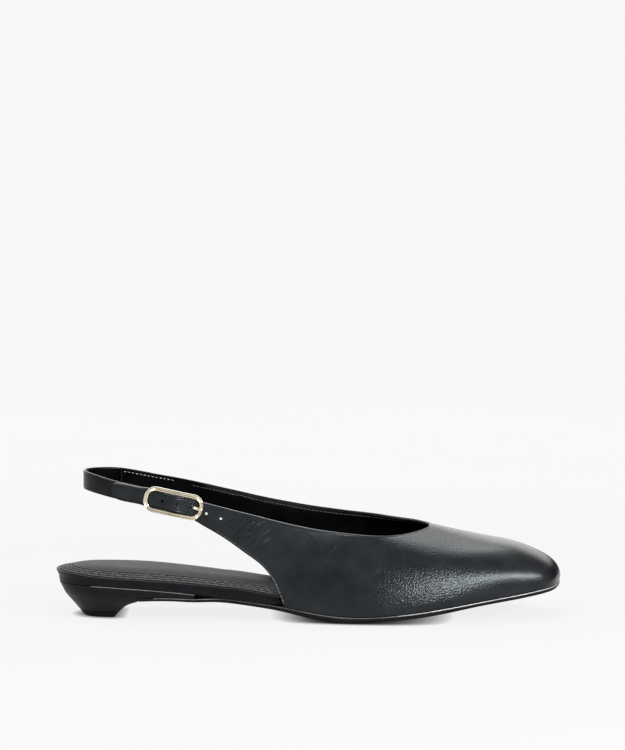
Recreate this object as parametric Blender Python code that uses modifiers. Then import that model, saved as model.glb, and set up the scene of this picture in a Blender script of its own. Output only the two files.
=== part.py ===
"""Slingback court shoe for the right foot: low heel, open back, heel strap with a buckle on the outer side.

The scene is in metres with +Z up, the toe towards +X and the outer side of the foot towards -Y. The origin is
on the floor under the middle of the shoe's box. The sizes below are in millimetres: "along" is measured
forward from the back of the heel, "across" towards the inner side of the foot, and "up" from the floor.
"""

import math
from collections import namedtuple

import bmesh
import bpy
import numpy as np
from mathutils import Matrix, Vector

MM = 0.001

# Driving dimensions: the whole shoe, its wall and the clearance between pieces
LENGTH = 256.9
GAP = 0.3
JOIN_DISTANCE = 0.01
WALL = 1.6
FEATHER_TUCK = 0.7
FEATHER_TUCK_HEIGHT = 4.0

# Footbed, insole and how far the sole's underside hangs below its edge
FACET_SLACK = 0.15
BOARD_UPPER_CLEARANCE = FEATHER_TUCK + WALL + GAP + FACET_SLACK
BOARD_FREE_TO = 103.0
BOARD_COVERED_FROM = 110.5
INSOLE_THICKNESS = 1.0
INSOLE_CROWN = 2.3
SOLE_BELLY = 1.2
CROWN_FULL_WIDTH = 30.0
PILLOW_POWER = 4

# Heel block and the thin wedge in front of it
HEEL_ROUND = 27.0
HEEL_ROUND_SHARE = 0.68
HEEL_BLOCK_FRONT = 42.7
HEEL_SEAT_INSET = 1.7
WEDGE_ROOT = 40.7
WEDGE_TIP = 71.0
WEDGE_TOP_INSET = 1.9
WEDGE_LOW_INSET_ROOT = 3.6
WEDGE_LOW_INSET_TIP = 2.4
WEDGE_BURIED = 0.4
OUTSOLE_BACK = HEEL_BLOCK_FRONT + 2 * GAP

# Heel strap: the outer quarter's strap with its holes, and the sling that loops round the heel
STRAP_WIDTH = 8.6
STRAP_SLOPE = math.radians(12.0)
TAIL_TIP = 29.5
TAIL_ROUND = 4.5
TAIL_TIP_SHARE = 0.45
INNER_QUARTER_END = 31.0
SLING_THICKNESS = 1.4
SLING_SKIVED = 0.8
SLING_WIDTH = 8.4
SLING_BACK_SPREAD = 0.11
SLING_LAP_END = 47.0
SLING_FOLD_START = 7.0
LOOP_BACK = 14.6
LOOP_CENTRE = 74.0
LOOP_HALF_WIDTH = 27.0
LOOP_SHIFT = 0.65
LOOP_POWER = 2.25
HOLE_FIRST = 55.4
HOLE_PITCH = 7.25
HOLE_DROPS = (0.0, 0.0, 0.0, 1.8, 2.7)
HOLE_RADIUS = 1.0
HOLE_CUT_DEPTH = 5.0
PRONG_HOLE = 2
PRONG_HOLE_RADIUS = 1.5

# Buckle
BUCKLE_CENTRE = 61.0
BUCKLE_LENGTH = 29.4
BUCKLE_WIDTH = 12.6
BUCKLE_WIRE = 0.85
BUCKLE_CORNER = 4.6
BUCKLE_STANDOFF = BUCKLE_WIRE + 0.5
BAR_RADIUS = 0.65
BAR_DEPTH = 1.5
PRONG_RADIUS = 0.45
PRONG_OVERHANG = 0.6
WEAVE_RISE = 2.5
WEAVE_HALF_SPAN = 10.5
SLOT_HALF_WIDTH = PRONG_RADIUS + 0.35
SLOT_BEHIND = 2.4
SLOT_AHEAD = 4.0
SLOT_INSIDE = -6.0
SLOT_OUTSIDE = 3.0

# Plan of the shoe's edge: the heel back, the outer side to the toe, then the inner side back to the heel
EdgePoint = namedtuple("EdgePoint", "along across")
SHOE_EDGE = (
    EdgePoint(0.0, 0.0),
    EdgePoint(8.0, -19.0),
    EdgePoint(27.0, -26.8),
    EdgePoint(62.0, -26.5),
    EdgePoint(95.0, -29.0),
    EdgePoint(130.0, -35.5),
    EdgePoint(165.0, -40.2),
    EdgePoint(195.0, -38.0),
    EdgePoint(222.0, -30.0),
    EdgePoint(241.0, -21.6),
    EdgePoint(250.6, -14.2),
    EdgePoint(255.2, -3.0),
    EdgePoint(LENGTH, 8.0),
    EdgePoint(255.2, 17.5),
    EdgePoint(248.0, 25.8),
    EdgePoint(222.0, 34.8),
    EdgePoint(190.0, 40.2),
    EdgePoint(160.0, 35.0),
    EdgePoint(125.0, 25.5),
    EdgePoint(95.0, 21.8),
    EdgePoint(60.0, 24.6),
    EdgePoint(27.0, 26.8),
    EdgePoint(8.0, 19.0),
)
TOE_ROW = 12

# Side view of the sole: height of its tread, thickness, and how far its edge stays inside the shoe's edge
SoleRow = namedtuple("SoleRow", "along tread thickness inset")
SOLE_ROWS = (
    SoleRow(40.0, 9.1, 1.4, 3.4),
    SoleRow(60.0, 9.3, 1.6, 2.9),
    SoleRow(71.0, 8.85, 1.7, 2.75),
    SoleRow(80.0, 9.1, 1.8, 2.6),
    SoleRow(97.0, 7.75, 2.0, 2.3),
    SoleRow(116.0, 5.0, 2.5, 1.5),
    SoleRow(131.0, 1.9, 3.2, 0.9),
    SoleRow(140.5, 0.85, 3.1, 0.6),
    SoleRow(150.5, 0.7, 2.8, 0.5),
    SoleRow(160.5, 1.2, 2.6, 0.5),
    SoleRow(175.0, 2.35, 2.7, 0.5),
    SoleRow(194.0, 4.85, 2.7, 0.5),
    SoleRow(212.0, 7.95, 2.2, 0.5),
    SoleRow(234.0, 10.75, 2.3, 0.5),
    SoleRow(LENGTH, 14.0, 2.1, 0.5),
)

# The heel seat's height, the thickness of the wrapped board on it, and how much the insole rises towards the
# inner side, under the arch
SeatRow = namedtuple("SeatRow", "along seat board arch")
SEAT_ROWS = (
    SeatRow(0.0, 17.4, 6.2, 0.0),
    SeatRow(12.0, 17.4, 5.4, 0.0),
    SeatRow(26.0, 17.1, 4.5, 0.7),
    SeatRow(49.5, 15.35, 4.7, 1.7),
    SeatRow(69.0, 13.4, 5.0, 1.8),
    SeatRow(78.0, 12.2, 5.4, 1.6),
    SeatRow(86.0, 10.9, 5.8, 1.3),
    SeatRow(95.0, 9.1, 5.7, 1.1),
    SeatRow(111.0, 5.9, 4.9, 0.9),
    SeatRow(150.0, 0.0, 3.3, 0.0),
    SeatRow(185.0, 0.0, 2.7, 0.0),
    SeatRow(LENGTH, 0.0, 2.6, 0.0),
)

# Sides of the flat pieces from the bottom up: how far each level draws in and its share of the height
SideLevel = namedtuple("SideLevel", "inset share")
OUTSOLE_SIDE = (
    SideLevel(0.9, 0.0),
    SideLevel(0.15, 0.35),
    SideLevel(0.0, 0.7),
    SideLevel(0.1, 1.0),
)
FOOTBED_SIDE = (
    SideLevel(1.5, 0.0),
    SideLevel(1.3, 0.45),
    SideLevel(0.2, 0.8),
    SideLevel(0.0, 0.9),
    SideLevel(0.5, 1.0),
)
INSOLE_SIDE = (
    SideLevel(1.5, 0.0),
    SideLevel(1.3, 0.6),
    SideLevel(1.9, 1.0),
)

# Levels of the heel block below the seat: where its back, its breast and its side stand
HeelLevel = namedtuple("HeelLevel", "up back breast half_width")
HEEL_LEVELS = (
    HeelLevel(11.6, 4.2, 42.7, 24.3),
    HeelLevel(9.2, 6.05, 42.7, 22.5),
    HeelLevel(8.0, 7.15, 39.3, 21.2),
    HeelLevel(6.0, 8.9, 35.7, 19.0),
    HeelLevel(3.0, 11.4, 32.6, 16.2),
)
HEEL_TIP_LEVELS = (
    HeelLevel(2.7, 11.7, 32.3, 16.0),
    HeelLevel(0.5, 13.4, 30.5, 14.3),
    HeelLevel(0.0, 13.9, 30.0, 13.8),
)

# Height of the middle of the heel strap on each side of the foot
StrapRow = namedtuple("StrapRow", "along outer inner")
STRAP_ROWS = (
    StrapRow(13.8, 68.7, 68.7),
    StrapRow(28.5, 65.5, 68.2),
    StrapRow(45.0, 62.6, 65.0),
    StrapRow(59.0, 59.8, 62.3),
    StrapRow(70.0, 57.4, 60.1),
)

# Ribs of the quarters behind the sole: lower end on the cut edge, upper end on the top line
WingRib = namedtuple("WingRib", "foot_along foot_across foot_up top_along top_across top_up")
OUTER_WING = (
    WingRib(73.0, -28.6, 49.7, 75.4, -28.7, 59.9),
    WingRib(79.0, -29.1, 46.1, 83.0, -29.2, 58.0),
    WingRib(87.0, -29.7, 41.3, 92.0, -29.8, 55.7),
    WingRib(96.4, -30.2, 34.6, 101.5, -30.2, 53.4),
    WingRib(104.8, -30.6, 28.2, 110.5, -30.4, 51.1),
    WingRib(110.0, -31.2, 21.5, 118.5, -30.4, 49.2),
    WingRib(113.4, -31.8, 14.6, 125.0, -30.3, 47.8),
)
INNER_WING = (
    WingRib(111.0, 24.0, 15.5, 113.0, 25.4, 55.0),
    WingRib(108.0, 24.4, 23.5, 107.0, 25.4, 56.2),
    WingRib(103.0, 24.6, 30.5, 100.5, 25.4, 57.6),
    WingRib(95.0, 25.0, 37.2, 92.5, 25.4, 59.5),
    WingRib(85.0, 25.3, 44.2, 83.5, 25.5, 61.5),
    WingRib(74.5, 25.5, 51.0, 74.0, 25.6, 63.7),
)

# Ribs that stand on the sole: foot on the shoe's edge, top on the top line, how far the rib turns over, how
# boxy it is (a smaller power is squarer) and how far it sinks between the toe and the throat
VampRib = namedtuple("VampRib", "foot_along top_along top_across top_up turn power sink")
OUTER_VAMP = (
    VampRib(116.0, 131.0, -30.1, 46.6, 25.0, 1.0, 0.0),
    VampRib(128.0, 140.5, -29.6, 45.3, 30.0, 1.0, 0.0),
    VampRib(143.0, 149.5, -28.7, 44.2, 36.0, 1.0, 0.0),
    VampRib(160.0, 158.5, -27.1, 43.3, 44.0, 0.97, 0.0),
    VampRib(179.0, 166.5, -24.3, 42.8, 52.0, 0.93, 0.0),
    VampRib(200.0, 173.5, -20.6, 42.8, 58.0, 0.89, 0.5),
    VampRib(220.0, 179.5, -15.6, 43.3, 62.0, 0.85, 1.4),
    VampRib(238.0, 184.2, -10.2, 43.9, 64.0, 0.835, 2.1),
    VampRib(250.0, 187.8, -5.0, 44.6, 65.0, 0.83, 2.4),
    VampRib(255.0, 189.3, -0.6, 45.1, 65.0, 0.82, 2.4),
)
TOE_RIB = VampRib(LENGTH, 189.6, 4.0, 45.4, 65.0, 0.82, 2.4)
INNER_VAMP = (
    VampRib(254.5, 189.0, 8.0, 45.4, 65.0, 0.83, 2.3),
    VampRib(245.0, 186.5, 12.6, 45.5, 64.5, 0.83, 2.2),
    VampRib(232.0, 183.0, 16.4, 45.9, 63.0, 0.83, 1.8),
    VampRib(215.0, 177.5, 19.6, 46.4, 60.5, 0.85, 1.1),
    VampRib(197.0, 170.5, 22.2, 47.1, 56.5, 0.885, 0.3),
    VampRib(179.0, 161.5, 24.0, 48.4, 50.0, 0.93, 0.0),
    VampRib(159.0, 150.0, 25.1, 49.7, 42.0, 0.97, 0.0),
    VampRib(141.0, 138.5, 25.5, 51.0, 32.0, 1.0, 0.0),
    VampRib(127.0, 128.0, 25.5, 52.4, 26.0, 1.0, 0.0),
    VampRib(114.0, 118.5, 25.4, 54.0, 22.0, 1.0, 0.0),
)
WING_TURN = 20.0
WING_POWER = 1.0

# Soft shoulder beside the sunk top of the toe: its height as a share of the sink, and its place on the rib
TOE_SHOULDER = 0.31
TOE_SHOULDER_AT = 0.57
TOE_SHOULDER_WIDTH = 0.13

# The sling's end behind the bar and back over it: distance behind the bar, distance out, thickness
FoldRow = namedtuple("FoldRow", "behind out thickness")
FOLD_RADIUS = BAR_RADIUS + GAP + SLING_SKIVED / 2
FOLD_BACK = -BAR_DEPTH - FOLD_RADIUS
FOLD_FRONT = -BAR_DEPTH + FOLD_RADIUS
FOLD_BEFORE = (
    FoldRow(4.5, FOLD_BACK + 0.1, 1.1),
    FoldRow(2.0, FOLD_BACK, SLING_SKIVED),
)
FOLD_AFTER = (
    FoldRow(1.6, FOLD_FRONT - 0.25, SLING_SKIVED),
    FoldRow(3.4, FOLD_FRONT - 0.75, 0.6),
)
FOLD_STEPS = 8

# The prong on its way through the hole: distance from the hole's middle and out from the strap's face
ProngRow = namedtuple("ProngRow", "ahead out")
PRONG_ROWS = (
    ProngRow(-1.3, -1.9),
    ProngRow(-0.4, -1.0),
    ProngRow(0.4, 1.2),
    ProngRow(2.35, 2.9),
)

# How finely the curved pieces are divided
EDGE_SAMPLES = 600
TANGENT_STEP = 0.05
LOOP_TANGENT_STEP = 0.004
FACE_STEP = 2.0
SOLE_STATIONS = 34
SOLE_STATION_EASE = 0.07
SOLE_ACROSS = 6
HEEL_SIDE_STEPS = 14
WEDGE_STEPS = 10
UPPER_COLUMNS = 114
TOE_CLOSENESS = 2.0
UPPER_ROWS = 10
TAIL_TIP_KNOTS = (0.0, 0.7, 1.6, 3.0)
SLING_STEPS = 34
FRAME_CORNER_STEPS = 6
PRONG_EYE_STEPS = 12
HOLE_SIDES = 12

LEATHER = ("leather_black", (0.022, 0.023, 0.025), 0.45, 0.0)
LINING = ("leather_sock", (0.030, 0.030, 0.032), 0.50, 0.0)
SOLE_BLACK = ("sole_black", (0.020, 0.019, 0.021), 0.55, 0.0)
PALE_GOLD = ("metal_pale_gold", (0.80, 0.70, 0.50), 0.25, 1.0)


def spline(knots, rows):
    """Natural cubic spline through rows of numbers at rising knots, as a function of the knot value."""
    knots = np.asarray(knots, float)
    rows = np.asarray(rows, float).reshape(len(knots), -1)
    count = len(knots)
    gaps = np.diff(knots)
    slopes = np.diff(rows, axis=0) / gaps[:, None]
    system = np.eye(count)
    wanted = np.zeros_like(rows)
    for i in range(1, count - 1):
        system[i, i - 1 : i + 2] = gaps[i - 1], 2 * (gaps[i - 1] + gaps[i]), gaps[i]
        wanted[i] = 6 * (slopes[i] - slopes[i - 1])
    bends = np.linalg.solve(system, wanted)

    def value(at):
        i = int(np.clip(np.searchsorted(knots, at) - 1, 0, count - 2))
        before = knots[i + 1] - at
        after = at - knots[i]
        gap = gaps[i]
        curved = (bends[i] * before**3 + bends[i + 1] * after**3) / (6 * gap)
        left = (rows[i] / gap - bends[i] * gap / 6) * before
        right = (rows[i + 1] / gap - bends[i + 1] * gap / 6) * after
        return curved + left + right

    return value


def column(table, knot, name):
    """Spline of one named column of a table over another."""
    return spline([getattr(row, knot) for row in table], [getattr(row, name) for row in table])


def chord_lengths(points):
    steps = np.linalg.norm(np.diff(np.asarray(points, float), axis=0), axis=1)
    return np.concatenate([[0.0], np.cumsum(steps)])


def smooth_step(low, high, value):
    share = min(max((value - low) / (high - low), 0.0), 1.0)
    return share * share * (3 - 2 * share)


class Edge:
    """The shoe's edge in plan. Places on it run from 0 at the heel back to 1 at the toe along the outer side,
    and on to 2 back along the inner side."""

    def __init__(self, rows, toe_row):
        wrapped = list(rows[-3:]) + list(rows) + list(rows[:4])
        lengths = chord_lengths(wrapped)
        self.curve = spline(lengths, wrapped)
        self.start = lengths[3]
        self.toe = lengths[3 + toe_row]
        self.end = lengths[3 + len(rows)]
        places = np.linspace(0.0, 2.0, 2 * EDGE_SAMPLES + 1)
        self.places = places
        self.alongs = np.array([self.point(place, 0.0)[0] for place in places])

    def length_at(self, place):
        if place <= 1.0:
            return self.start + place * (self.toe - self.start)
        return self.toe + (place - 1.0) * (self.end - self.toe)

    def point(self, place, inset):
        """The edge's plan point, moved inwards."""
        length = self.length_at(place)
        tangent = self.curve(length + TANGENT_STEP) - self.curve(length - TANGENT_STEP)
        tangent /= np.linalg.norm(tangent)
        inwards = np.array([-tangent[1], tangent[0]])
        return self.curve(length) + inwards * inset

    def outer_place(self, along):
        return float(np.interp(along, self.alongs[: EDGE_SAMPLES + 1], self.places[: EDGE_SAMPLES + 1]))

    def inner_place(self, along):
        inner = slice(EDGE_SAMPLES, 2 * EDGE_SAMPLES + 1)
        return float(np.interp(-along, -self.alongs[inner], self.places[inner]))


EDGE = Edge(SHOE_EDGE, TOE_ROW)
tread_curve = column(SOLE_ROWS, "along", "tread")
sole_thickness_curve = column(SOLE_ROWS, "along", "thickness")
sole_inset_curve = column(SOLE_ROWS, "along", "inset")
seat_curve = column(SEAT_ROWS, "along", "seat")
board_curve = column(SEAT_ROWS, "along", "board")
arch_curve = column(SEAT_ROWS, "along", "arch")
outer_strap_curve = column(STRAP_ROWS, "along", "outer")
inner_strap_curve = column(STRAP_ROWS, "along", "inner")


def tread(along):
    """Underside of the sole, flat on the floor under the ball."""
    return max(0.0, float(tread_curve(along)[0]))


def sole_top(along):
    return tread(along) + float(sole_thickness_curve(along)[0])


def board_under(along):
    """Underside of the footbed: on the heel seat at the back, on the sole in front."""
    seat = float(seat_curve(along)[0])
    if along < OUTSOLE_BACK:
        return seat
    return max(seat, sole_top(along) + GAP)


def board_top(along):
    return board_under(along) + float(board_curve(along)[0])


def board_inset(along):
    """How far the footbed draws in to stand inside the upper."""
    return BOARD_UPPER_CLEARANCE * smooth_step(BOARD_FREE_TO, BOARD_COVERED_FROM, along)


def sole_inset(along):
    return float(sole_inset_curve(along)[0])


def world(along, across, up):
    return Vector(((along - LENGTH / 2) * MM, across * MM, up * MM))


# Mesh helpers


def collection_named(name):
    found = bpy.data.collections.new(name)
    bpy.context.scene.collection.children.link(found)
    return found


def material_of(finish):
    name, colour, roughness, metallic = finish
    if name in bpy.data.materials:
        return bpy.data.materials[name]
    made = bpy.data.materials.new(name)
    made.use_nodes = True
    shader = made.node_tree.nodes["Principled BSDF"]
    shader.inputs["Base Color"].default_value = (*colour, 1.0)
    shader.inputs["Roughness"].default_value = roughness
    shader.inputs["Metallic"].default_value = metallic
    return made


def object_from(mesh_maker, name, finish, collection, smooth_angle=35.0):
    """Named object from a filled bmesh, with its faces pointing out."""
    mesh = bpy.data.meshes.new(name)
    mesh_maker.normal_update()
    mesh_maker.to_mesh(mesh)
    mesh_maker.free()
    mesh.shade_smooth()
    mesh.set_sharp_from_angle(angle=math.radians(smooth_angle))
    made = bpy.data.objects.new(name, mesh)
    if finish:
        mesh.materials.append(material_of(finish))
    collection.objects.link(made)
    return made


def closed_up(mesh_maker):
    """Joins points that fall together at a rounded end and turns all faces outwards."""
    bmesh.ops.remove_doubles(mesh_maker, verts=mesh_maker.verts, dist=JOIN_DISTANCE * MM)
    bmesh.ops.recalc_face_normals(mesh_maker, faces=mesh_maker.faces)
    return mesh_maker


def loft(rings, cap_first=True, cap_last=True):
    """Surface through rings of equally many world points, as a bmesh."""
    made = bmesh.new()
    corners = [[made.verts.new(point) for point in ring] for ring in rings]
    for ring, following in zip(corners, corners[1:]):
        for i in range(len(ring)):
            j = (i + 1) % len(ring)
            made.faces.new((ring[i], ring[j], following[j], following[i]))
    if cap_first:
        made.faces.new(corners[0])
    if cap_last:
        made.faces.new(corners[-1])
    return made


def mesh_from_curve(curve_object):
    """Turns a bevelled curve into a mesh object of the same name with its caps joined on."""
    bpy.context.view_layer.update()
    graph = bpy.context.evaluated_depsgraph_get()
    mesh = bpy.data.meshes.new_from_object(curve_object.evaluated_get(graph))
    name = curve_object.name
    users = list(curve_object.users_collection)
    made_mesh = bmesh.new()
    made_mesh.from_mesh(mesh)
    bmesh.ops.remove_doubles(made_mesh, verts=made_mesh.verts, dist=JOIN_DISTANCE * MM)
    bmesh.ops.recalc_face_normals(made_mesh, faces=made_mesh.faces)
    made_mesh.to_mesh(mesh)
    made_mesh.free()
    place = curve_object.matrix_world.copy()
    bpy.data.objects.remove(curve_object)
    made = bpy.data.objects.new(name, mesh)
    made.matrix_world = place
    for user in users:
        user.objects.link(made)
    return made


def wire(name, points, radius, collection, finish=None, closed=False, sides=2):
    """Round wire through world points."""
    data = bpy.data.curves.new(name, "CURVE")
    data.dimensions = "3D"
    data.bevel_depth = radius * MM
    data.bevel_resolution = sides
    data.use_fill_caps = not closed
    path = data.splines.new("POLY")
    path.points.add(len(points) - 1)
    for point, place in zip(path.points, points):
        point.co = (*place, 1.0)
    path.use_cyclic_u = closed
    if finish:
        data.materials.append(material_of(finish))
    made = bpy.data.objects.new(name, data)
    collection.objects.link(made)
    return made


def combine(target, other, operation, solver="EXACT"):
    """Boolean of another object with the target; the other is kept as a hidden helper."""
    other.hide_render = True
    other.display_type = "WIRE"
    modifier = target.modifiers.new(operation.lower() + "_" + other.name, "BOOLEAN")
    modifier.operation = operation
    modifier.solver = solver
    modifier.object = other


# Sole, footbed and insole: slabs between two heights, through stations from the back to the toe


def station_places(first_along):
    """Pairs of places on the outer and inner edge, closer together where the ends are round."""
    first_outer = EDGE.outer_place(first_along) if first_along else 0.0
    first_inner = EDGE.inner_place(first_along) if first_along else 2.0
    pairs = []
    for i in range(SOLE_STATIONS + 1):
        share = i / SOLE_STATIONS
        eased = share - SOLE_STATION_EASE * math.sin(2 * math.pi * share)
        outer = first_outer + (1.0 - first_outer) * eased
        inner = first_inner + (1.0 - first_inner) * eased
        pairs.append((outer, inner))
    return pairs


SlabPoint = namedtuple("SlabPoint", "plan share swell inner_share")


def slab_ring(outers, inners, shares):
    """Points of one ring: their plan, their share of the height, how much they swell, and on the top how near
    they are to the inner side. They run across the bottom, up the inner side, back across the top and down
    the outer side."""
    across = np.linspace(0.0, 1.0, SOLE_ACROSS + 1)[:-1]
    fullness = min(1.0, np.linalg.norm(inners[-1] - outers[-1]) / CROWN_FULL_WIDTH)
    swells = fullness * (1 - np.abs(2 * across - 1) ** PILLOW_POWER)
    ring = []
    for step, swell in zip(across, swells):
        ring.append(SlabPoint(outers[0] + (inners[0] - outers[0]) * step, shares[0], swell, 0.0))
    ring += [SlabPoint(inner, share, 0.0, 0.0) for inner, share in zip(inners[:-1], shares[:-1])]
    for step, swell in zip(across, swells):
        plan = inners[-1] + (outers[-1] - inners[-1]) * step
        ring.append(SlabPoint(plan, shares[-1], swell, fullness * (1 - step)))
    downwards = reversed(list(zip(outers[1:], shares[1:])))
    ring += [SlabPoint(outer, share, 0.0, 0.0) for outer, share in downwards]
    return ring


def flat_top(point):
    return 0.0


def insole_rise(point):
    """Rise of the padded insole over its edge."""
    return INSOLE_CROWN * point.swell + float(arch_curve(point.plan[0])[0]) * point.inner_share


def slab(first_along, inset, levels, under, over, belly=0.0, rise=flat_top):
    """Piece inside the shoe's edge, between two heights, with a shaped side. Its underside may hang a little,
    as far as the floor, and its top may rise."""
    rings = []
    shares = [level.share for level in levels]
    for outer, inner in station_places(first_along):
        sides = []
        for place in (outer, inner):
            drawn_in = inset(EDGE.point(place, 0.0)[0])
            sides.append([EDGE.point(place, drawn_in + level.inset) for level in levels])
        ring = []
        for point in slab_ring(sides[0], sides[1], shares):
            along, across = point.plan
            low = max(0.0, under(along) - belly * point.swell)
            high = over(along) + rise(point)
            ring.append(world(along, across, low + (high - low) * point.share))
        rings.append(ring)
    return closed_up(loft(rings, cap_first=first_along > 0, cap_last=False))


def make_outsole(parts):
    made = slab(OUTSOLE_BACK, sole_inset, OUTSOLE_SIDE, tread, sole_top, SOLE_BELLY)
    return object_from(made, "outsole", SOLE_BLACK, parts)


def make_footbed(parts):
    made = slab(0.0, board_inset, FOOTBED_SIDE, board_under, board_top)
    return object_from(made, "footbed", LEATHER, parts)


def insole_under(along):
    return board_top(along) + GAP


def insole_over(along):
    return insole_under(along) + INSOLE_THICKNESS


def make_insole(parts):
    made = slab(0.0, board_inset, INSOLE_SIDE, insole_under, insole_over, rise=insole_rise)
    return object_from(made, "insole", LINING, parts)


# Heel: rings from the seat down, tapering on all sides


def heel_places():
    """Places on the shoe's edge round the heel, from the block's front on the outer side to the inner."""
    outer = np.linspace(EDGE.outer_place(HEEL_BLOCK_FRONT), 0.0, HEEL_SIDE_STEPS + 1)
    inner = np.linspace(2.0, EDGE.inner_place(HEEL_BLOCK_FRONT), HEEL_SIDE_STEPS + 1)
    return np.concatenate([outer, inner[1:]])


def heel_ring(level):
    """Plan of one level: the seat's own rounded outline drawn in to the level's back, breast and side."""
    ring = []
    length = level.breast - level.back
    for place in heel_places():
        along, across = EDGE.point(place, 0.0)
        if along < HEEL_ROUND:
            share = HEEL_ROUND_SHARE * max(along, 0.0) / HEEL_ROUND
        else:
            straight = (along - HEEL_ROUND) / (HEEL_BLOCK_FRONT - HEEL_ROUND)
            share = HEEL_ROUND_SHARE + (1 - HEEL_ROUND_SHARE) * straight
        ring.append((level.back + share * length, across * level.half_width / HEEL_ROUND, level.up))
    return ring


def seat_ring():
    """Top of the heel, just under the footbed and a little inside it."""
    ring = []
    for place in heel_places():
        along, across = EDGE.point(place, HEEL_SEAT_INSET)
        along = min(along, HEEL_BLOCK_FRONT)
        ring.append((along, across, board_under(along) - GAP))
    return ring


def ringed_solid(rings):
    """Closed solid through heel rings, its two ends bridged from side to side."""
    made = loft([[world(*point) for point in ring] for ring in rings], False, False)
    made.verts.ensure_lookup_table()
    size = len(rings[0])
    middle = size // 2
    for first in (0, (len(rings) - 1) * size):
        for i in range(middle):
            outer = made.verts[first + i]
            outer_next = made.verts[first + i + 1]
            inner = made.verts[first + size - 1 - i]
            inner_next = made.verts[first + size - 2 - i]
            if outer_next is inner_next:
                made.faces.new((outer, outer_next, inner))
            else:
                made.faces.new((outer, outer_next, inner_next, inner))
    return closed_up(made)


def heel_wedge():
    """Thin wedge between the footbed and the sole, rooted in the heel block."""
    rings = []
    for along in np.linspace(WEDGE_ROOT, WEDGE_TIP, WEDGE_STEPS):
        share = (along - WEDGE_ROOT) / (WEDGE_TIP - WEDGE_ROOT)
        low_inset = WEDGE_LOW_INSET_ROOT + (WEDGE_LOW_INSET_TIP - WEDGE_LOW_INSET_ROOT) * share
        outer = EDGE.outer_place(along)
        inner = EDGE.inner_place(along)
        buried = WEDGE_BURIED if along < HEEL_BLOCK_FRONT else 0.0
        high = board_under(along) - GAP - buried
        low = sole_top(max(along, OUTSOLE_BACK)) + GAP
        ring = [
            world(along, EDGE.point(outer, low_inset)[1], low),
            world(along, EDGE.point(inner, low_inset)[1], low),
            world(along, EDGE.point(inner, WEDGE_TOP_INSET)[1], high),
            world(along, EDGE.point(outer, WEDGE_TOP_INSET)[1], high),
        ]
        rings.append(ring)
    return closed_up(loft(rings))


def make_heel(parts, helpers):
    rings = [seat_ring()] + [heel_ring(level) for level in HEEL_LEVELS]
    heel = object_from(ringed_solid(rings), "heel", SOLE_BLACK, parts)
    wedge = object_from(heel_wedge(), "heel_wedge_helper", SOLE_BLACK, helpers)
    combine(heel, wedge, "UNION", "MANIFOLD")
    return heel


def make_heel_tip(parts):
    rings = [heel_ring(level) for level in HEEL_TIP_LEVELS]
    return object_from(ringed_solid(rings), "heel_tip", SOLE_BLACK, parts)


# Heel strap's loop in plan: half of a rounded oval, seen from above


def loop_middle(angle):
    back = max(math.cos(angle), 0.0) ** (2 / LOOP_POWER)
    side = math.copysign(abs(math.sin(angle)) ** (2 / LOOP_POWER), angle)
    along = LOOP_CENTRE - (LOOP_CENTRE - LOOP_BACK) * back
    return np.array([along, LOOP_SHIFT + LOOP_HALF_WIDTH * side])


def loop_point(angle, outwards):
    """Plan point of the strap's middle line, moved outwards. The angle is -90 degrees on the outer side, 0 at
    the back of the heel and 90 on the inner side."""
    tangent = loop_middle(angle + LOOP_TANGENT_STEP) - loop_middle(angle - LOOP_TANGENT_STEP)
    tangent /= np.linalg.norm(tangent)
    return loop_middle(angle) + outwards * np.array([-tangent[1], tangent[0]])


LOOP_ANGLES = np.radians(np.linspace(2.0, 89.0, 200))


def beside_loop(along, side, outwards):
    """Distance across where the loop, moved outwards, reaches a station on one side of the foot."""
    points = np.array([loop_point(side * angle, outwards) for angle in LOOP_ANGLES])
    return float(np.interp(along, points[:, 0], points[:, 1]))


TAIL_OUTWARDS = SLING_THICKNESS / 2 + GAP + WALL
LAP_INWARDS = -SLING_THICKNESS / 2 - GAP
TAIL_TIP_STATIONS = tuple(TAIL_TIP + TAIL_ROUND * share for share in (0.0, 0.15, 0.45, 1.0))
TAIL_STATIONS = TAIL_TIP_STATIONS + (40.0, 47.0, 54.0, 60.0, 64.0, 67.0)
LAP_STATIONS = (65.0, 56.0, 47.0, 40.0, 35.0, INNER_QUARTER_END)


def strap_rib(along, across, middle, half_width):
    """Upright rib of a strap, its width measured square to the strap's slope."""
    half = half_width / math.cos(STRAP_SLOPE)
    return WingRib(along, across, middle - half, along, across, middle + half)


def tail_rib(along):
    """Rib of the outer strap, rounded off towards its tip."""
    share = min((along - TAIL_TIP) / TAIL_ROUND, 1.0)
    rounded = TAIL_TIP_SHARE + (1 - TAIL_TIP_SHARE) * math.sqrt(1 - (1 - share) ** 2)
    across = beside_loop(along, -1, TAIL_OUTWARDS)
    return strap_rib(along, across, float(outer_strap_curve(along)[0]), rounded * STRAP_WIDTH / 2)


def lap_rib(along):
    """Rib of the inner quarter's end, which the sling laps over."""
    across = beside_loop(along, 1, LAP_INWARDS)
    return strap_rib(along, across, float(inner_strap_curve(along)[0]), STRAP_WIDTH / 2)


# Upper: one wall through ribs, from the outer strap round the toe to the inner strap


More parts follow.
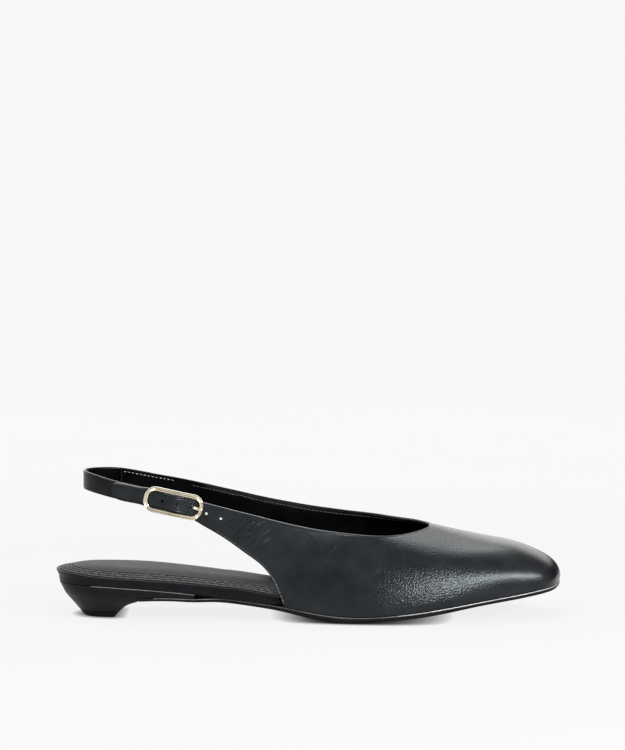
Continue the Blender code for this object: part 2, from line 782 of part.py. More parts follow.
class Upper:
    """The outer face of the upper, as a function of the place along its ribs and the height on a rib."""

    def __init__(self):
        outer = [tail_rib(along) for along in TAIL_STATIONS] + list(OUTER_WING)
        inner = list(INNER_WING) + [lap_rib(along) for along in LAP_STATIONS]
        vamp = list(OUTER_VAMP) + [TOE_RIB] + list(INNER_VAMP)
        edge_places = [EDGE.outer_place(rib.foot_along) for rib in OUTER_VAMP] + [1.0]
        edge_places += [EDGE.inner_place(rib.foot_along) for rib in INNER_VAMP]
        edge_feet = [self.edge_foot(place) for place in edge_places]
        feet = [(rib.foot_along, rib.foot_across, rib.foot_up) for rib in outer] + edge_feet
        feet += [(rib.foot_along, rib.foot_across, rib.foot_up) for rib in inner]
        tops = [(rib.top_along, rib.top_across, rib.top_up) for rib in outer + vamp + inner]
        forms = [(WING_TURN, WING_POWER, 0.0)] * len(outer)
        forms += [(rib.turn, rib.power, rib.sink) for rib in vamp]
        forms += [(WING_TURN, WING_POWER, 0.0)] * len(inner)
        stretched = np.array(feet) * (1.0, TOE_CLOSENESS, 1.0)
        knots = (chord_lengths(stretched) + chord_lengths(tops)) / 2
        first = len(outer)
        last = first + len(vamp) - 1
        self.first_corner = knots[first]
        self.last_corner = knots[last]
        self.length = knots[-1]
        self.tops = spline(knots, tops)
        self.forms = spline(knots, forms)
        self.outer_feet = spline(knots[: first + 1], feet[: first + 1])
        self.places = spline(knots[first : last + 1], edge_places)
        self.inner_feet = spline(knots[last:], feet[last:])

    @staticmethod
    def edge_foot(place):
        along, across = EDGE.point(place, 0.0)
        return (along, across, sole_top(along) + GAP)

    def foot(self, knot):
        if knot < self.first_corner:
            return self.outer_feet(knot)
        if knot > self.last_corner:
            return self.inner_feet(knot)
        return np.array(self.edge_foot(float(self.places(knot)[0])))

    def point(self, knot, share):
        """Point on the rib at a knot, from its foot (0) to the top line (1)."""
        foot = self.foot(knot)
        top = self.tops(knot)
        turn, power, sink = self.forms(knot)
        turn = math.radians(turn)
        rise = (math.sin(turn * share) / math.sin(turn)) ** power
        run = (1 - math.cos(turn * share)) / (1 - math.cos(turn))
        place = foot + (top - foot) * np.array([run, run, rise])
        shoulder = math.exp(-(((share - TOE_SHOULDER_AT) / TOE_SHOULDER_WIDTH) ** 2))
        place[2] += sink * (TOE_SHOULDER * shoulder - 4 * share**2 * (1 - share**2))
        if self.first_corner <= knot <= self.last_corner:
            height = place[2] - foot[2]
            tucked = FEATHER_TUCK * max(0.0, 1 - height / FEATHER_TUCK_HEIGHT) ** 2
            moved = EDGE.point(float(self.places(knot)[0]), tucked)
            still = EDGE.point(float(self.places(knot)[0]), 0.0)
            place[:2] += moved - still
        return place

    def knots(self, count):
        """Knots spread evenly, closer at the strap's tip, with one on each corner where a quarter leaves
        the sole."""
        even = np.linspace(TAIL_ROUND, self.length, count - len(TAIL_TIP_KNOTS))
        spread = np.concatenate([TAIL_TIP_KNOTS, even])
        for corner in (self.first_corner, self.last_corner):
            spread[np.argmin(np.abs(spread - corner))] = corner
        return spread


UPPER = Upper()


def weave(along):
    """How far the strap lifts over the buckle's bar, between the two ends of the frame."""
    share = (along - BUCKLE_CENTRE) / WEAVE_HALF_SPAN
    if abs(share) >= 1:
        return 0.0
    return WEAVE_RISE * math.cos(share * math.pi / 2) ** 2


STRAP_FACE_KNOTS = np.linspace(0.0, UPPER.first_corner * 0.75, 160)
STRAP_FACE = np.array([UPPER.point(knot, 0.5) for knot in STRAP_FACE_KNOTS])


def strap_face(along):
    """Distance across of the outer strap's face, without the lift over the bar."""
    return float(np.interp(along, STRAP_FACE[:, 0], STRAP_FACE[:, 1]))


def strap_point(along, width, out):
    """World point beside the outer strap: at a station, above its middle line and out from its face."""
    rise = strap_face(along + FACE_STEP) - strap_face(along - FACE_STEP)
    turn = math.atan2(rise, 2 * FACE_STEP)
    middle = float(outer_strap_curve(BUCKLE_CENTRE)[0])
    fall = math.tan(STRAP_SLOPE) * (along - BUCKLE_CENTRE)
    shifted = along + width * math.sin(STRAP_SLOPE)
    return world(
        shifted + out * math.sin(turn),
        strap_face(shifted) - out * math.cos(turn),
        middle - fall + width * math.cos(STRAP_SLOPE),
    )


def upper_grid(columns, rows):
    """Points of the upper's outer face, column by column, with the strap's lift over the buckle's bar."""
    grid = []
    for knot in UPPER.knots(columns):
        line = []
        for i in range(rows):
            point = UPPER.point(knot, i / (rows - 1))
            if knot < UPPER.first_corner:
                point[1] -= weave(point[0])
            line.append(point)
        grid.append(line)
    return grid


def make_upper(parts, helpers):
    made = bmesh.new()
    grid = upper_grid(UPPER_COLUMNS, UPPER_ROWS)
    corners = [[made.verts.new(world(*point)) for point in line] for line in grid]
    for line, following in zip(corners, corners[1:]):
        for i in range(UPPER_ROWS - 1):
            made.faces.new((line[i], following[i], following[i + 1], line[i + 1]))
    upper = object_from(made, "upper", LEATHER, parts, smooth_angle=60.0)
    wall = upper.modifiers.new("wall", "SOLIDIFY")
    wall.thickness = WALL * MM
    wall.offset = -1.0
    wall.use_even_offset = True
    for i, drop in enumerate(HOLE_DROPS):
        radius = PRONG_HOLE_RADIUS if i == PRONG_HOLE else HOLE_RADIUS
        combine(upper, hole_cutter(i, drop, radius, helpers), "DIFFERENCE")
    return upper


def hole_cutter(index, drop, radius, helpers):
    """Cylinder through the outer strap at one of its punched holes, which lie lower on the widening
    quarter."""
    along = HOLE_FIRST + HOLE_PITCH * index + drop * math.sin(STRAP_SLOPE)
    inside = strap_point(along, -drop, -HOLE_CUT_DEPTH)
    outside = strap_point(along, -drop, HOLE_CUT_DEPTH)
    made = bmesh.new()
    turn = (outside - inside).to_track_quat("Z", "Y").to_matrix().to_4x4()
    place = Matrix.Translation((inside + outside) / 2) @ turn
    bmesh.ops.create_cone(
        made,
        cap_ends=True,
        segments=HOLE_SIDES,
        radius1=radius * MM,
        radius2=radius * MM,
        depth=(outside - inside).length,
        matrix=place,
    )
    return object_from(made, f"hole_cutter_{index + 1}", None, helpers)


# Heel strap: a band on the loop, its outer end folded round the buckle's bar


def sling_sections():
    """Rows of the band: plan point of its middle, its unit normal, the height of its middle and its half
    width, a little more at the back."""
    inner_last = [a for a in LOOP_ANGLES if loop_point(a, 0.0)[0] < SLING_LAP_END][-1]
    outer_last = [a for a in LOOP_ANGLES if loop_point(-a, 0.0)[0] < BUCKLE_CENTRE - SLING_FOLD_START][-1]
    rows = []
    for angle in np.linspace(inner_last, -outer_last, SLING_STEPS):
        plan = loop_point(angle, 0.0)
        normal = loop_point(angle, 1.0) - plan
        turned = max(-1.0, min(1.0, angle / outer_last))
        inner_share = 0.5 + 0.5 * math.sin(turned * math.pi / 2)
        outer = float(outer_strap_curve(plan[0])[0])
        inner = float(inner_strap_curve(plan[0])[0])
        half = SLING_WIDTH / 2 / math.cos(STRAP_SLOPE) * (1 + SLING_BACK_SPREAD * math.cos(angle) ** 2)
        rows.append((plan, normal, outer + (inner - outer) * inner_share, half))
    return rows


def fold_rows():
    """Rows of the folded end, from behind the bar, round it and back over it."""
    rows = list(FOLD_BEFORE)
    for angle in np.linspace(-math.pi / 2, math.pi / 2, FOLD_STEPS + 1):
        out = -BAR_DEPTH + FOLD_RADIUS * math.sin(angle)
        rows.append(FoldRow(-FOLD_RADIUS * math.cos(angle), out, SLING_SKIVED))
    return rows + list(FOLD_AFTER)


def make_sling(parts, helpers):
    rings = []
    for plan, normal, middle, half in sling_sections():
        outside = plan + normal * SLING_THICKNESS / 2
        inside = plan - normal * SLING_THICKNESS / 2
        ring = [
            world(*outside, middle - half),
            world(*outside, middle + half),
            world(*inside, middle + half),
            world(*inside, middle - half),
        ]
        rings.append(ring)
    rows = fold_rows()
    for i, row in enumerate(rows):
        before = rows[max(i - 1, 0)]
        after = rows[min(i + 1, len(rows) - 1)]
        heading = math.atan2(after.out - before.out, before.behind - after.behind)
        ahead = math.sin(heading) * row.thickness / 2
        out = math.cos(heading) * row.thickness / 2
        middle = BUCKLE_CENTRE - row.behind
        ring = [
            strap_point(middle - ahead, -SLING_WIDTH / 2, row.out + out),
            strap_point(middle - ahead, SLING_WIDTH / 2, row.out + out),
            strap_point(middle + ahead, SLING_WIDTH / 2, row.out - out),
            strap_point(middle + ahead, -SLING_WIDTH / 2, row.out - out),
        ]
        rings.append(ring)
    sling = object_from(closed_up(loft(rings)), "sling_strap", LEATHER, parts)
    combine(sling, slot_cutter(helpers), "DIFFERENCE")
    return sling


def slot_cutter(helpers):
    """Box that opens the fold for the prong's eye."""
    corners = (
        (-SLOT_HALF_WIDTH, SLOT_INSIDE),
        (SLOT_HALF_WIDTH, SLOT_INSIDE),
        (SLOT_HALF_WIDTH, SLOT_OUTSIDE),
        (-SLOT_HALF_WIDTH, SLOT_OUTSIDE),
    )
    rings = []
    for along in (BUCKLE_CENTRE - SLOT_BEHIND, BUCKLE_CENTRE + SLOT_AHEAD):
        rings.append([strap_point(along, width, out) for width, out in corners])
    return object_from(closed_up(loft(rings)), "slot_cutter", None, helpers)


# Buckle


def frame_path():
    """Rounded rectangle of the frame's wire, as places along the strap and above its middle."""
    half_length = BUCKLE_LENGTH / 2 - BUCKLE_WIRE
    half_width = BUCKLE_WIDTH / 2 - BUCKLE_WIRE
    centres = (
        (half_length - BUCKLE_CORNER, half_width - BUCKLE_CORNER, 0.0),
        (-half_length + BUCKLE_CORNER, half_width - BUCKLE_CORNER, 90.0),
        (-half_length + BUCKLE_CORNER, -half_width + BUCKLE_CORNER, 180.0),
        (half_length - BUCKLE_CORNER, -half_width + BUCKLE_CORNER, 270.0),
    )
    path = []
    for along, width, first in centres:
        for i in range(FRAME_CORNER_STEPS + 1):
            angle = math.radians(first + 90.0 * i / FRAME_CORNER_STEPS)
            path.append((along + BUCKLE_CORNER * math.cos(angle), width + BUCKLE_CORNER * math.sin(angle)))
    return path


def on_strap(along_strap, width, out):
    """World point from a distance along the sloping strap, measured from the buckle's middle."""
    return strap_point(BUCKLE_CENTRE + along_strap * math.cos(STRAP_SLOPE), width, out)


def make_buckle(parts, helpers):
    path = [on_strap(along, width, BUCKLE_STANDOFF) for along, width in frame_path()]
    frame = wire("buckle_frame", path, BUCKLE_WIRE, parts, PALE_GOLD, closed=True)
    frame = mesh_from_curve(frame)
    frame.data.shade_smooth()
    rail = BUCKLE_WIDTH / 2 - BUCKLE_WIRE
    staple = [
        on_strap(0.0, rail, BUCKLE_STANDOFF),
        on_strap(0.0, rail, -BAR_DEPTH),
        on_strap(0.0, -rail, -BAR_DEPTH),
        on_strap(0.0, -rail, BUCKLE_STANDOFF),
    ]
    bar = mesh_from_curve(wire("buckle_bar_helper", staple, BAR_RADIUS, helpers))
    combine(frame, bar, "UNION")
    return frame


def make_prong(parts, helpers):
    eye = BAR_RADIUS + GAP + PRONG_RADIUS
    hole = HOLE_FIRST + HOLE_PITCH * PRONG_HOLE
    end_bar = BUCKLE_CENTRE + BUCKLE_LENGTH / 2 - BUCKLE_WIRE
    ring = []
    for i in range(PRONG_EYE_STEPS):
        angle = 2 * math.pi * i / PRONG_EYE_STEPS
        along = BUCKLE_CENTRE + eye * math.cos(angle)
        ring.append(strap_point(along, 0.0, -BAR_DEPTH + eye * math.sin(angle)))
    rest_height = BUCKLE_STANDOFF + BUCKLE_WIRE + GAP + PRONG_RADIUS
    shaft = [strap_point(BUCKLE_CENTRE + eye, 0.0, -BAR_DEPTH)]
    shaft += [strap_point(hole + row.ahead, 0.0, row.out) for row in PRONG_ROWS]
    shaft.append(strap_point(end_bar + PRONG_OVERHANG, 0.0, rest_height))
    prong = mesh_from_curve(wire("buckle_prong", shaft, PRONG_RADIUS, parts, PALE_GOLD))
    prong.data.shade_smooth()
    eye_ring = mesh_from_curve(wire("prong_eye_helper", ring, PRONG_RADIUS, helpers, closed=True))
    combine(prong, eye_ring, "UNION")
    return prong


def main():
    for old in list(bpy.data.objects):
        bpy.data.objects.remove(old)
    parts = collection_named("slingback_court_shoe")
    helpers = collection_named("cutters_and_helpers")
    pieces = [
        make_outsole(parts),
        make_footbed(parts),
        make_insole(parts),
        make_heel(parts, helpers),
        make_heel_tip(parts),
        make_upper(parts, helpers),
        make_sling(parts, helpers),
        make_buckle(parts, helpers),
        make_prong(parts, helpers),
    ]
    shoe = bpy.data.objects.new("slingback_court_shoe", None)
    parts.objects.link(shoe)
    for piece in pieces:
        piece.parent = shoe


main()
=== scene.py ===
"""Looks of the slingback court shoe: leather, stitching, padded insole, buckle, floor, light and camera.

The sizes are the CAD's own, in millimetres: "along" is measured forward from the back of the heel, "across"
towards the inner side of the foot, and "up" from the floor. The scene is in metres with +Z up.
"""

import math
from collections import namedtuple

import bmesh
import bpy
import numpy as np
from mathutils import Matrix, Quaternion, Vector

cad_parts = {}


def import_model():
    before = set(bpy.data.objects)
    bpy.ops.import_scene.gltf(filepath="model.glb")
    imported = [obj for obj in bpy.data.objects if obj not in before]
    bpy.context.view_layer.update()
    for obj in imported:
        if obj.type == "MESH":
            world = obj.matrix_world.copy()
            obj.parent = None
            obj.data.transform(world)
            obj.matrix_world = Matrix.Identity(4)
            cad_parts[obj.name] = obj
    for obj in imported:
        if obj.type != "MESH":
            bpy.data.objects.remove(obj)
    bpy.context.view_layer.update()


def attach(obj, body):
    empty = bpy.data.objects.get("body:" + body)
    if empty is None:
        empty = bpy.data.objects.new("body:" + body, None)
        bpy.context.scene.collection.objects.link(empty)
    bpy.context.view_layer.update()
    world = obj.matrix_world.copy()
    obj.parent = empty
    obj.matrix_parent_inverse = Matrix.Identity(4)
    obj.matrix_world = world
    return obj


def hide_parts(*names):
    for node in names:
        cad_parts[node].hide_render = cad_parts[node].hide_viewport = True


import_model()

MM = 0.001
PICTURE_WIDTH = 625
PICTURE_HEIGHT = 750


def table(kind, *rows):
    """Rows of numbers with named columns."""
    return tuple(kind(*row) for row in rows)


# Sizes of the CAD
LENGTH = 256.9
GAP = 0.3
JOIN_DISTANCE = 0.002
WALL = 1.6
FEATHER_TUCK = 0.7
FEATHER_TUCK_HEIGHT = 4.0
FACET_SLACK = 0.15
BOARD_UPPER_CLEARANCE = FEATHER_TUCK + WALL + GAP + FACET_SLACK
BOARD_FREE_TO = 108.5
BOARD_COVERED_FROM = 113.5
INSOLE_THICKNESS = 1.0
INSOLE_CROWN = 2.3
SOLE_BELLY = 1.2
CROWN_FULL_WIDTH = 30.0
PILLOW_POWER = 4
HEEL_ROUND = 27.0
HEEL_ROUND_SHARE = 0.68
HEEL_HALF_WIDTH = 27.0
HEEL_BLOCK_FRONT = 42.7
HEEL_SEAT_INSET = 1.7
WEDGE_ROOT = 40.7
WEDGE_TIP = 71.0
WEDGE_TOP_INSET = 1.9
WEDGE_LOW_INSET_ROOT = 3.6
WEDGE_LOW_INSET_TIP = 2.4
OUTSOLE_BACK = HEEL_BLOCK_FRONT + 2 * GAP
STRAP_WIDTH = 8.6
STRAP_SLOPE = math.radians(12.0)
TAIL_TIP = 29.5
TAIL_ROUND = 4.5
TAIL_TIP_SHARE = 0.45
INNER_QUARTER_END = 31.0
SLING_THICKNESS = 1.4
SLING_SKIVED = 0.8
SLING_WIDTH = 8.4
SLING_BACK_SPREAD = 0.11
SLING_LAP_END = 47.0
SLING_FOLD_START = 7.0
LOOP_BACK = 14.6
LOOP_CENTRE = 74.0
LOOP_HALF_WIDTH = 27.0
LOOP_SHIFT = 0.65
LOOP_POWER = 2.25
HOLE_FIRST = 55.4
HOLE_PITCH = 7.25
HOLE_DROPS = (0.0, 0.0, 0.0, 1.8, 2.7)
HOLE_CUT_DEPTH = 5.0
PRONG_HOLE = 2
BUCKLE_CENTRE = 61.0
BUCKLE_LENGTH = 29.4
BUCKLE_WIDTH = 12.6
BUCKLE_WIRE = 0.85
BUCKLE_CORNER = 4.6
BUCKLE_STANDOFF = BUCKLE_WIRE + 0.5
BAR_RADIUS = 0.65
BAR_DEPTH = 1.5
PRONG_RADIUS = 0.45
PRONG_OVERHANG = 0.6
WEAVE_RISE = 2.5
WEAVE_HALF_SPAN = 10.5
SLOT_HALF_WIDTH = PRONG_RADIUS + 0.35
SLOT_BEHIND = 2.4
SLOT_AHEAD = 4.0
SLOT_INSIDE = -6.0
SLOT_OUTSIDE = 3.0
TOE_CLOSENESS = 2.0
TOE_SHOULDER = 0.31
TOE_SHOULDER_AT = 0.57
TOE_SHOULDER_WIDTH = 0.13
WING_TURN = 20.0
WING_POWER = 1.0

EdgePoint = namedtuple("EdgePoint", "along across")
SHOE_EDGE = table(
    EdgePoint,
    (0.0, 0.0),
    (8.0, -19.0),
    (27.0, -26.8),
    (62.0, -26.5),
    (95.0, -29.0),
    (130.0, -35.5),
    (165.0, -40.2),
    (195.0, -38.0),
    (222.0, -30.0),
    (241.0, -21.6),
    (250.6, -14.2),
    (255.2, -3.0),
    (LENGTH, 8.0),
    (255.2, 17.5),
    (248.0, 25.8),
    (222.0, 34.8),
    (190.0, 40.2),
    (160.0, 35.0),
    (125.0, 25.5),
    (95.0, 21.8),
    (60.0, 24.6),
    (27.0, 26.8),
    (8.0, 19.0),
)
TOE_ROW = 12
EDGE_WRAP = 3

SoleRow = namedtuple("SoleRow", "along tread thickness inset")
SOLE_ROWS = table(
    SoleRow,
    (40.0, 9.1, 1.4, 3.4),
    (60.0, 9.3, 1.6, 2.9),
    (71.0, 8.85, 1.7, 2.75),
    (80.0, 9.1, 1.8, 2.6),
    (97.0, 7.75, 2.0, 2.3),
    (116.0, 5.0, 2.5, 1.5),
    (131.0, 1.9, 3.2, 0.9),
    (140.5, 0.85, 3.1, 0.6),
    (150.5, 0.7, 2.8, 0.5),
    (160.5, 1.2, 2.6, 0.5),
    (175.0, 2.35, 2.7, 0.5),
    (194.0, 4.85, 2.7, 0.5),
    (212.0, 7.95, 2.2, 0.5),
    (234.0, 10.75, 2.3, 0.5),
    (LENGTH, 14.0, 2.1, 0.5),
)

SeatRow = namedtuple("SeatRow", "along seat board arch")
SEAT_ROWS = table(
    SeatRow,
    (0.0, 17.4, 6.2, 0.0),
    (12.0, 17.4, 5.4, 0.0),
    (26.0, 17.1, 4.5, 0.7),
    (49.5, 15.35, 4.7, 1.7),
    (69.0, 13.4, 5.0, 1.8),
    (78.0, 12.2, 5.4, 1.6),
    (86.0, 10.9, 5.8, 1.3),
    (95.0, 9.1, 5.7, 1.1),
    (111.0, 5.9, 4.9, 0.9),
    (150.0, 0.0, 3.3, 0.0),
    (185.0, 0.0, 2.7, 0.0),
    (LENGTH, 0.0, 2.6, 0.0),
)

HeelLevel = namedtuple("HeelLevel", "up back breast half_width")
HEEL_LEVELS = table(
    HeelLevel,
    (11.6, 4.2, 42.7, 24.3),
    (9.2, 6.05, 42.7, 22.5),
    (8.0, 7.15, 39.3, 21.2),
    (6.0, 8.9, 35.7, 19.0),
    (3.0, 11.4, 32.6, 16.2),
)
HEEL_TIP_LEVELS = table(
    HeelLevel,
    (2.7, 11.7, 32.3, 16.0),
    (0.5, 13.4, 30.5, 14.3),
    (0.0, 13.9, 30.0, 13.8),
)

StrapRow = namedtuple("StrapRow", "along outer inner")
STRAP_ROWS = table(
    StrapRow,
    (13.8, 68.7, 68.7),
    (28.5, 65.5, 68.2),
    (45.0, 62.6, 65.0),
    (59.0, 59.8, 62.3),
    (70.0, 57.4, 60.1),
)

WingRib = namedtuple("WingRib", "foot_along foot_across foot_up top_along top_across top_up")
OUTER_WING = table(
    WingRib,
    (73.0, -28.6, 49.7, 75.4, -28.7, 59.9),
    (79.0, -29.1, 46.1, 83.0, -29.2, 58.0),
    (87.0, -29.7, 41.3, 92.0, -29.8, 55.7),
    (96.4, -30.2, 34.6, 101.5, -30.2, 53.4),
    (104.8, -30.6, 28.2, 110.5, -30.4, 51.1),
    (110.0, -31.2, 21.5, 118.5, -30.4, 49.2),
    (113.4, -31.8, 14.6, 125.0, -30.3, 47.8),
)
INNER_WING = table(
    WingRib,
    (111.0, 24.0, 15.5, 113.0, 25.4, 55.0),
    (108.0, 24.4, 23.5, 107.0, 25.4, 56.2),
    (103.0, 24.6, 30.5, 100.5, 25.4, 57.6),
    (95.0, 25.0, 37.2, 92.5, 25.4, 59.5),
    (85.0, 25.3, 44.2, 83.5, 25.5, 61.5),
    (74.5, 25.5, 51.0, 74.0, 25.6, 63.7),
)

VampRib = namedtuple("VampRib", "foot_along top_along top_across top_up turn power sink")
OUTER_VAMP = table(
    VampRib,
    (116.0, 131.0, -30.1, 46.6, 25.0, 1.0, 0.0),
    (128.0, 140.5, -29.6, 45.3, 30.0, 1.0, 0.0),
    (143.0, 149.5, -28.7, 44.2, 36.0, 1.0, 0.0),
    (160.0, 158.5, -27.1, 43.3, 44.0, 0.97, 0.0),
    (179.0, 166.5, -24.3, 42.8, 52.0, 0.93, 0.0),
    (200.0, 173.5, -20.6, 42.8, 58.0, 0.89, 0.5),
    (220.0, 179.5, -15.6, 43.3, 62.0, 0.85, 1.4),
    (238.0, 184.2, -10.2, 43.9, 64.0, 0.835, 2.1),
    (250.0, 187.8, -5.0, 44.6, 65.0, 0.83, 2.4),
    (255.0, 189.3, -0.6, 45.1, 65.0, 0.82, 2.4),
)
TOE_RIB = VampRib(LENGTH, 189.6, 4.0, 45.4, 65.0, 0.82, 2.4)
INNER_VAMP = table(
    VampRib,
    (254.5, 189.0, 8.0, 45.4, 65.0, 0.83, 2.3),
    (245.0, 186.5, 12.6, 45.5, 64.5, 0.83, 2.2),
    (232.0, 183.0, 16.4, 45.9, 63.0, 0.83, 1.8),
    (215.0, 177.5, 19.6, 46.4, 60.5, 0.85, 1.1),
    (197.0, 170.5, 22.2, 47.1, 56.5, 0.885, 0.3),
    (179.0, 161.5, 24.0, 48.4, 50.0, 0.93, 0.0),
    (159.0, 150.0, 25.1, 49.7, 42.0, 0.97, 0.0),
    (141.0, 138.5, 25.5, 51.0, 32.0, 1.0, 0.0),
    (127.0, 128.0, 25.5, 52.4, 26.0, 1.0, 0.0),
    (114.0, 118.5, 25.4, 54.0, 22.0, 1.0, 0.0),
)

FoldRow = namedtuple("FoldRow", "behind out thickness")
FOLD_RADIUS = BAR_RADIUS + GAP + SLING_SKIVED / 2
FOLD_BACK = -BAR_DEPTH - FOLD_RADIUS
FOLD_FRONT = -BAR_DEPTH + FOLD_RADIUS
FOLD_BEFORE = table(
    FoldRow,
    (4.5, FOLD_BACK + 0.1, 1.1),
    (2.0, FOLD_BACK, SLING_SKIVED),
)
FOLD_AFTER = table(
    FoldRow,
    (1.6, FOLD_FRONT - 0.25, SLING_SKIVED),
    (3.4, FOLD_FRONT - 0.75, 0.6),
)

ProngRow = namedtuple("ProngRow", "ahead out")
PRONG_ROWS = table(
    ProngRow,
    (-1.3, -1.9),
    (-0.4, -1.0),
    (0.4, 1.2),
    (2.35, 2.9),
)

# Fineness of the shown pieces
EDGE_SAMPLES = 600
TANGENT_STEP = 0.05
LOOP_TANGENT_STEP = 0.004
FACE_STEP = 2.0
RIB_SAMPLES = 160
RIB_CROWDING = 1.5
STRAP_FACE_SAMPLES = 160
STRAP_FACE_SHARE = 0.75
EDGE_ROWS = (0.0, 0.06, 0.2, 0.42, 0.75, 1.15, 1.6)
MIDDLE_ROWS = 48
QUARTER_STEP = 0.5
VAMP_COLUMNS = 190
INNER_STEP = 0.9
SOLE_STATIONS = 180
SOLE_STATION_EASE = 0.07
SOLE_ACROSS = 16
HEEL_SIDE_STEPS = 40
HEEL_LEVEL_STEPS = 4
WEDGE_STEPS = 24
SLING_STEPS = 130
FOLD_STEPS = 20
FRAME_CORNER_STEPS = 14
FRAME_SIDE_STEPS = 12
WIRE_SIDES = 5
PRONG_EYE_STEPS = 28
PRONG_STEPS = 40
PRONG_HEADING_STEP = 0.1
PRONG_SIDES = 16
PRONG_HALF_WIDTH = 0.72
HOLE_SIDES = 28

# Leather's edge: folded over and sewn down
FOLD_SWELL = 0.10
FOLD_SWELL_AT = 0.75
FOLD_SWELL_WIDTH = 0.45
SEAM_INSET = 1.35
SEAM_DEPTH = 0.12
SEAM_WIDTH = 0.32
# Widths of the painted highlight along the near side's top edge and of the painted shade on the cut edges
RIM_WIDTH = 0.16
CUT_EDGE_WIDTH = 0.5
LINING_FOLD = 3.1
LINING_STEP = 0.22
LINING_STEP_SOFT = 0.15
LINING_WIDTH = (11.0, 17.0)
STRAP_BORDER = 0.7
HOLE_DIMPLE_DEPTH = 0.16
HOLE_DIMPLE_WIDTH = 1.9
HOLE_RADII = (0.75, 0.7, 0.8, 0.7, 0.7)

# The one hole that the photo shows dark, and how much wider the strap spreads inside the buckle's frame
DARK_HOLE = 1
DARK_HOLE_DEPTH = 1.3
FRAME_FILL = 0.1
FRAME_FILL_FLAT = 0.35
FRAME_FILL_FROM = (43.0, 48.0)
FRAME_FILL_TO = (70.0, 74.0)

# Creases of the quarters where the strap pulls on them, and slack ones further down: the two ends of each
# ridge, how far it bows, its half width and its height
Crease = namedtuple("Crease", "along_from up_from along_to up_to bow width height")
OUTER_CREASES = table(
    Crease,
    (86.3, 47.6, 92.0, 51.2, 0.9, 0.55, 0.22),
    (88.6, 46.0, 95.0, 50.7, 0.7, 0.50, 0.25),
    (91.0, 41.6, 93.4, 44.6, 0.2, 0.50, 0.29),
    (92.4, 40.2, 94.8, 42.8, 0.2, 0.50, 0.29),
    (93.2, 44.6, 99.6, 50.4, 0.3, 0.55, 0.35),
    (94.2, 39.6, 99.8, 44.8, 0.3, 0.55, 0.44),
    (95.0, 44.5, 101.8, 50.4, 0.3, 0.55, 0.53),
    (96.8, 39.5, 101.9, 43.8, 0.3, 0.55, 0.40),
    (97.1, 42.6, 105.4, 50.2, 0.4, 0.60, 0.48),
    (99.3, 38.2, 103.4, 41.9, 0.2, 0.50, 0.34),
    (101.9, 39.8, 109.6, 46.4, 0.4, 0.60, 0.48),
    (101.7, 35.4, 109.9, 42.3, 0.4, 0.60, 0.48),
    (105.0, 34.6, 108.6, 37.8, 0.2, 0.60, 0.22),
    (109.6, 36.6, 112.4, 38.8, 0.1, 0.55, 0.26),
    (111.4, 43.3, 115.4, 46.0, 0.1, 0.60, 0.20),
    (118.8, 25.2, 125.3, 29.3, 0.3, 0.95, 0.12),
    (126.2, 32.6, 131.3, 35.6, 0.2, 0.90, 0.12),
    (126.2, 20.5, 132.7, 27.5, 0.3, 0.95, 0.16),
    (131.7, 28.4, 137.3, 33.1, 0.3, 0.90, 0.16),
    (136.4, 33.6, 141.9, 39.1, 0.3, 0.90, 0.14),
    (141.0, 27.0, 152.0, 33.0, 0.6, 2.40, 0.10),
    (150.0, 22.0, 163.0, 29.0, 0.6, 2.80, 0.10),
)
INNER_CREASES = table(
    Crease,
    (80.0, 53.0, 87.0, 57.5, 0.6, 0.9, 0.14),
    (84.0, 50.0, 92.0, 56.0, 0.7, 0.9, 0.18),
    (88.0, 47.0, 97.0, 54.5, 0.7, 0.9, 0.20),
    (92.0, 43.5, 101.0, 52.0, 0.6, 0.9, 0.20),
    (96.0, 40.0, 105.0, 48.5, 0.5, 0.9, 0.18),
    (100.5, 36.5, 108.5, 44.5, 0.4, 0.9, 0.16),
    (124.0, 31.0, 135.0, 38.0, 0.6, 1.8, 0.10),
    (140.0, 26.0, 152.0, 33.0, 0.6, 2.6, 0.10),
)
CREASE_END_FADE = 2.0
CREASE_TROUGH = 1.3

# Stitching: distance from stitch to stitch, a stitch's length, radius and sink, and which finish it has
Thread = namedtuple("Thread", "pitch length radius sink finish")
# The seam thread is left plain next to the sole, where the stitches catch light; up the cut seams and along
# the collar it is painted darker as shade, and on the lap paler as a painted highlight
SEAM_THREAD = Thread(2.1, 1.35, 0.2, 0.02, 0)
LAP_THREAD = Thread(2.1, 1.35, 0.2, 0.02, 1)
COLLAR_THREAD = Thread(2.1, 1.95, 0.2, 0.02, 2)
INSOLE_THREAD = Thread(4.0, 3.85, 0.17, -0.05, 0)
# Length of each cut seam next to the sole where the thread keeps its plain finish, without painted shade
PALE_SEAM = 13.0
SEAM_CLEAR = 1.5
OUTER_SEAM_SHARE = 0.55
INNER_SEAM_LENGTH = 60.0
COLLAR_SEAM_SHARE = 0.5
COLLAR_SEAM_STOP = 40.0
COLLAR_SEAM_INSET = LINING_FOLD - 0.6
SEW_STEP = 0.3
LAP_STITCH_FROM = 33.0
LAP_STITCH_TO = 59.0
LAP_STITCH_INSET = 1.8

# Insole: sewn channels round a thin edge, with painted shade in the channels, and a padded middle
INSOLE_SEAMS = (1.5, 3.6, 5.7)
INSOLE_SEAM_DEPTH = 0.26
INSOLE_SEAM_WIDTH = 0.5
INSOLE_CHANNEL_SHADE = 0.62
INSOLE_STITCHED_TO = 150.0
INSOLE_EDGE_INSET = 1.9
INSOLE_EDGE = 0.15
INSOLE_RINGS = 32
INSOLE_RING_STEP = 0.28
INSOLE_PLACES = 460
INSOLE_FILL = 16
INSOLE_PILLOW = 16.0
INSOLE_PILLOW_POWER = 1.3
INSOLE_FOOT_SPREAD = 0.3
INSOLE_SIDE_SPREAD = 0.25
INSOLE_SIDE_SHARE = 0.6
ARCH_RISE_WIDTH = 7.0


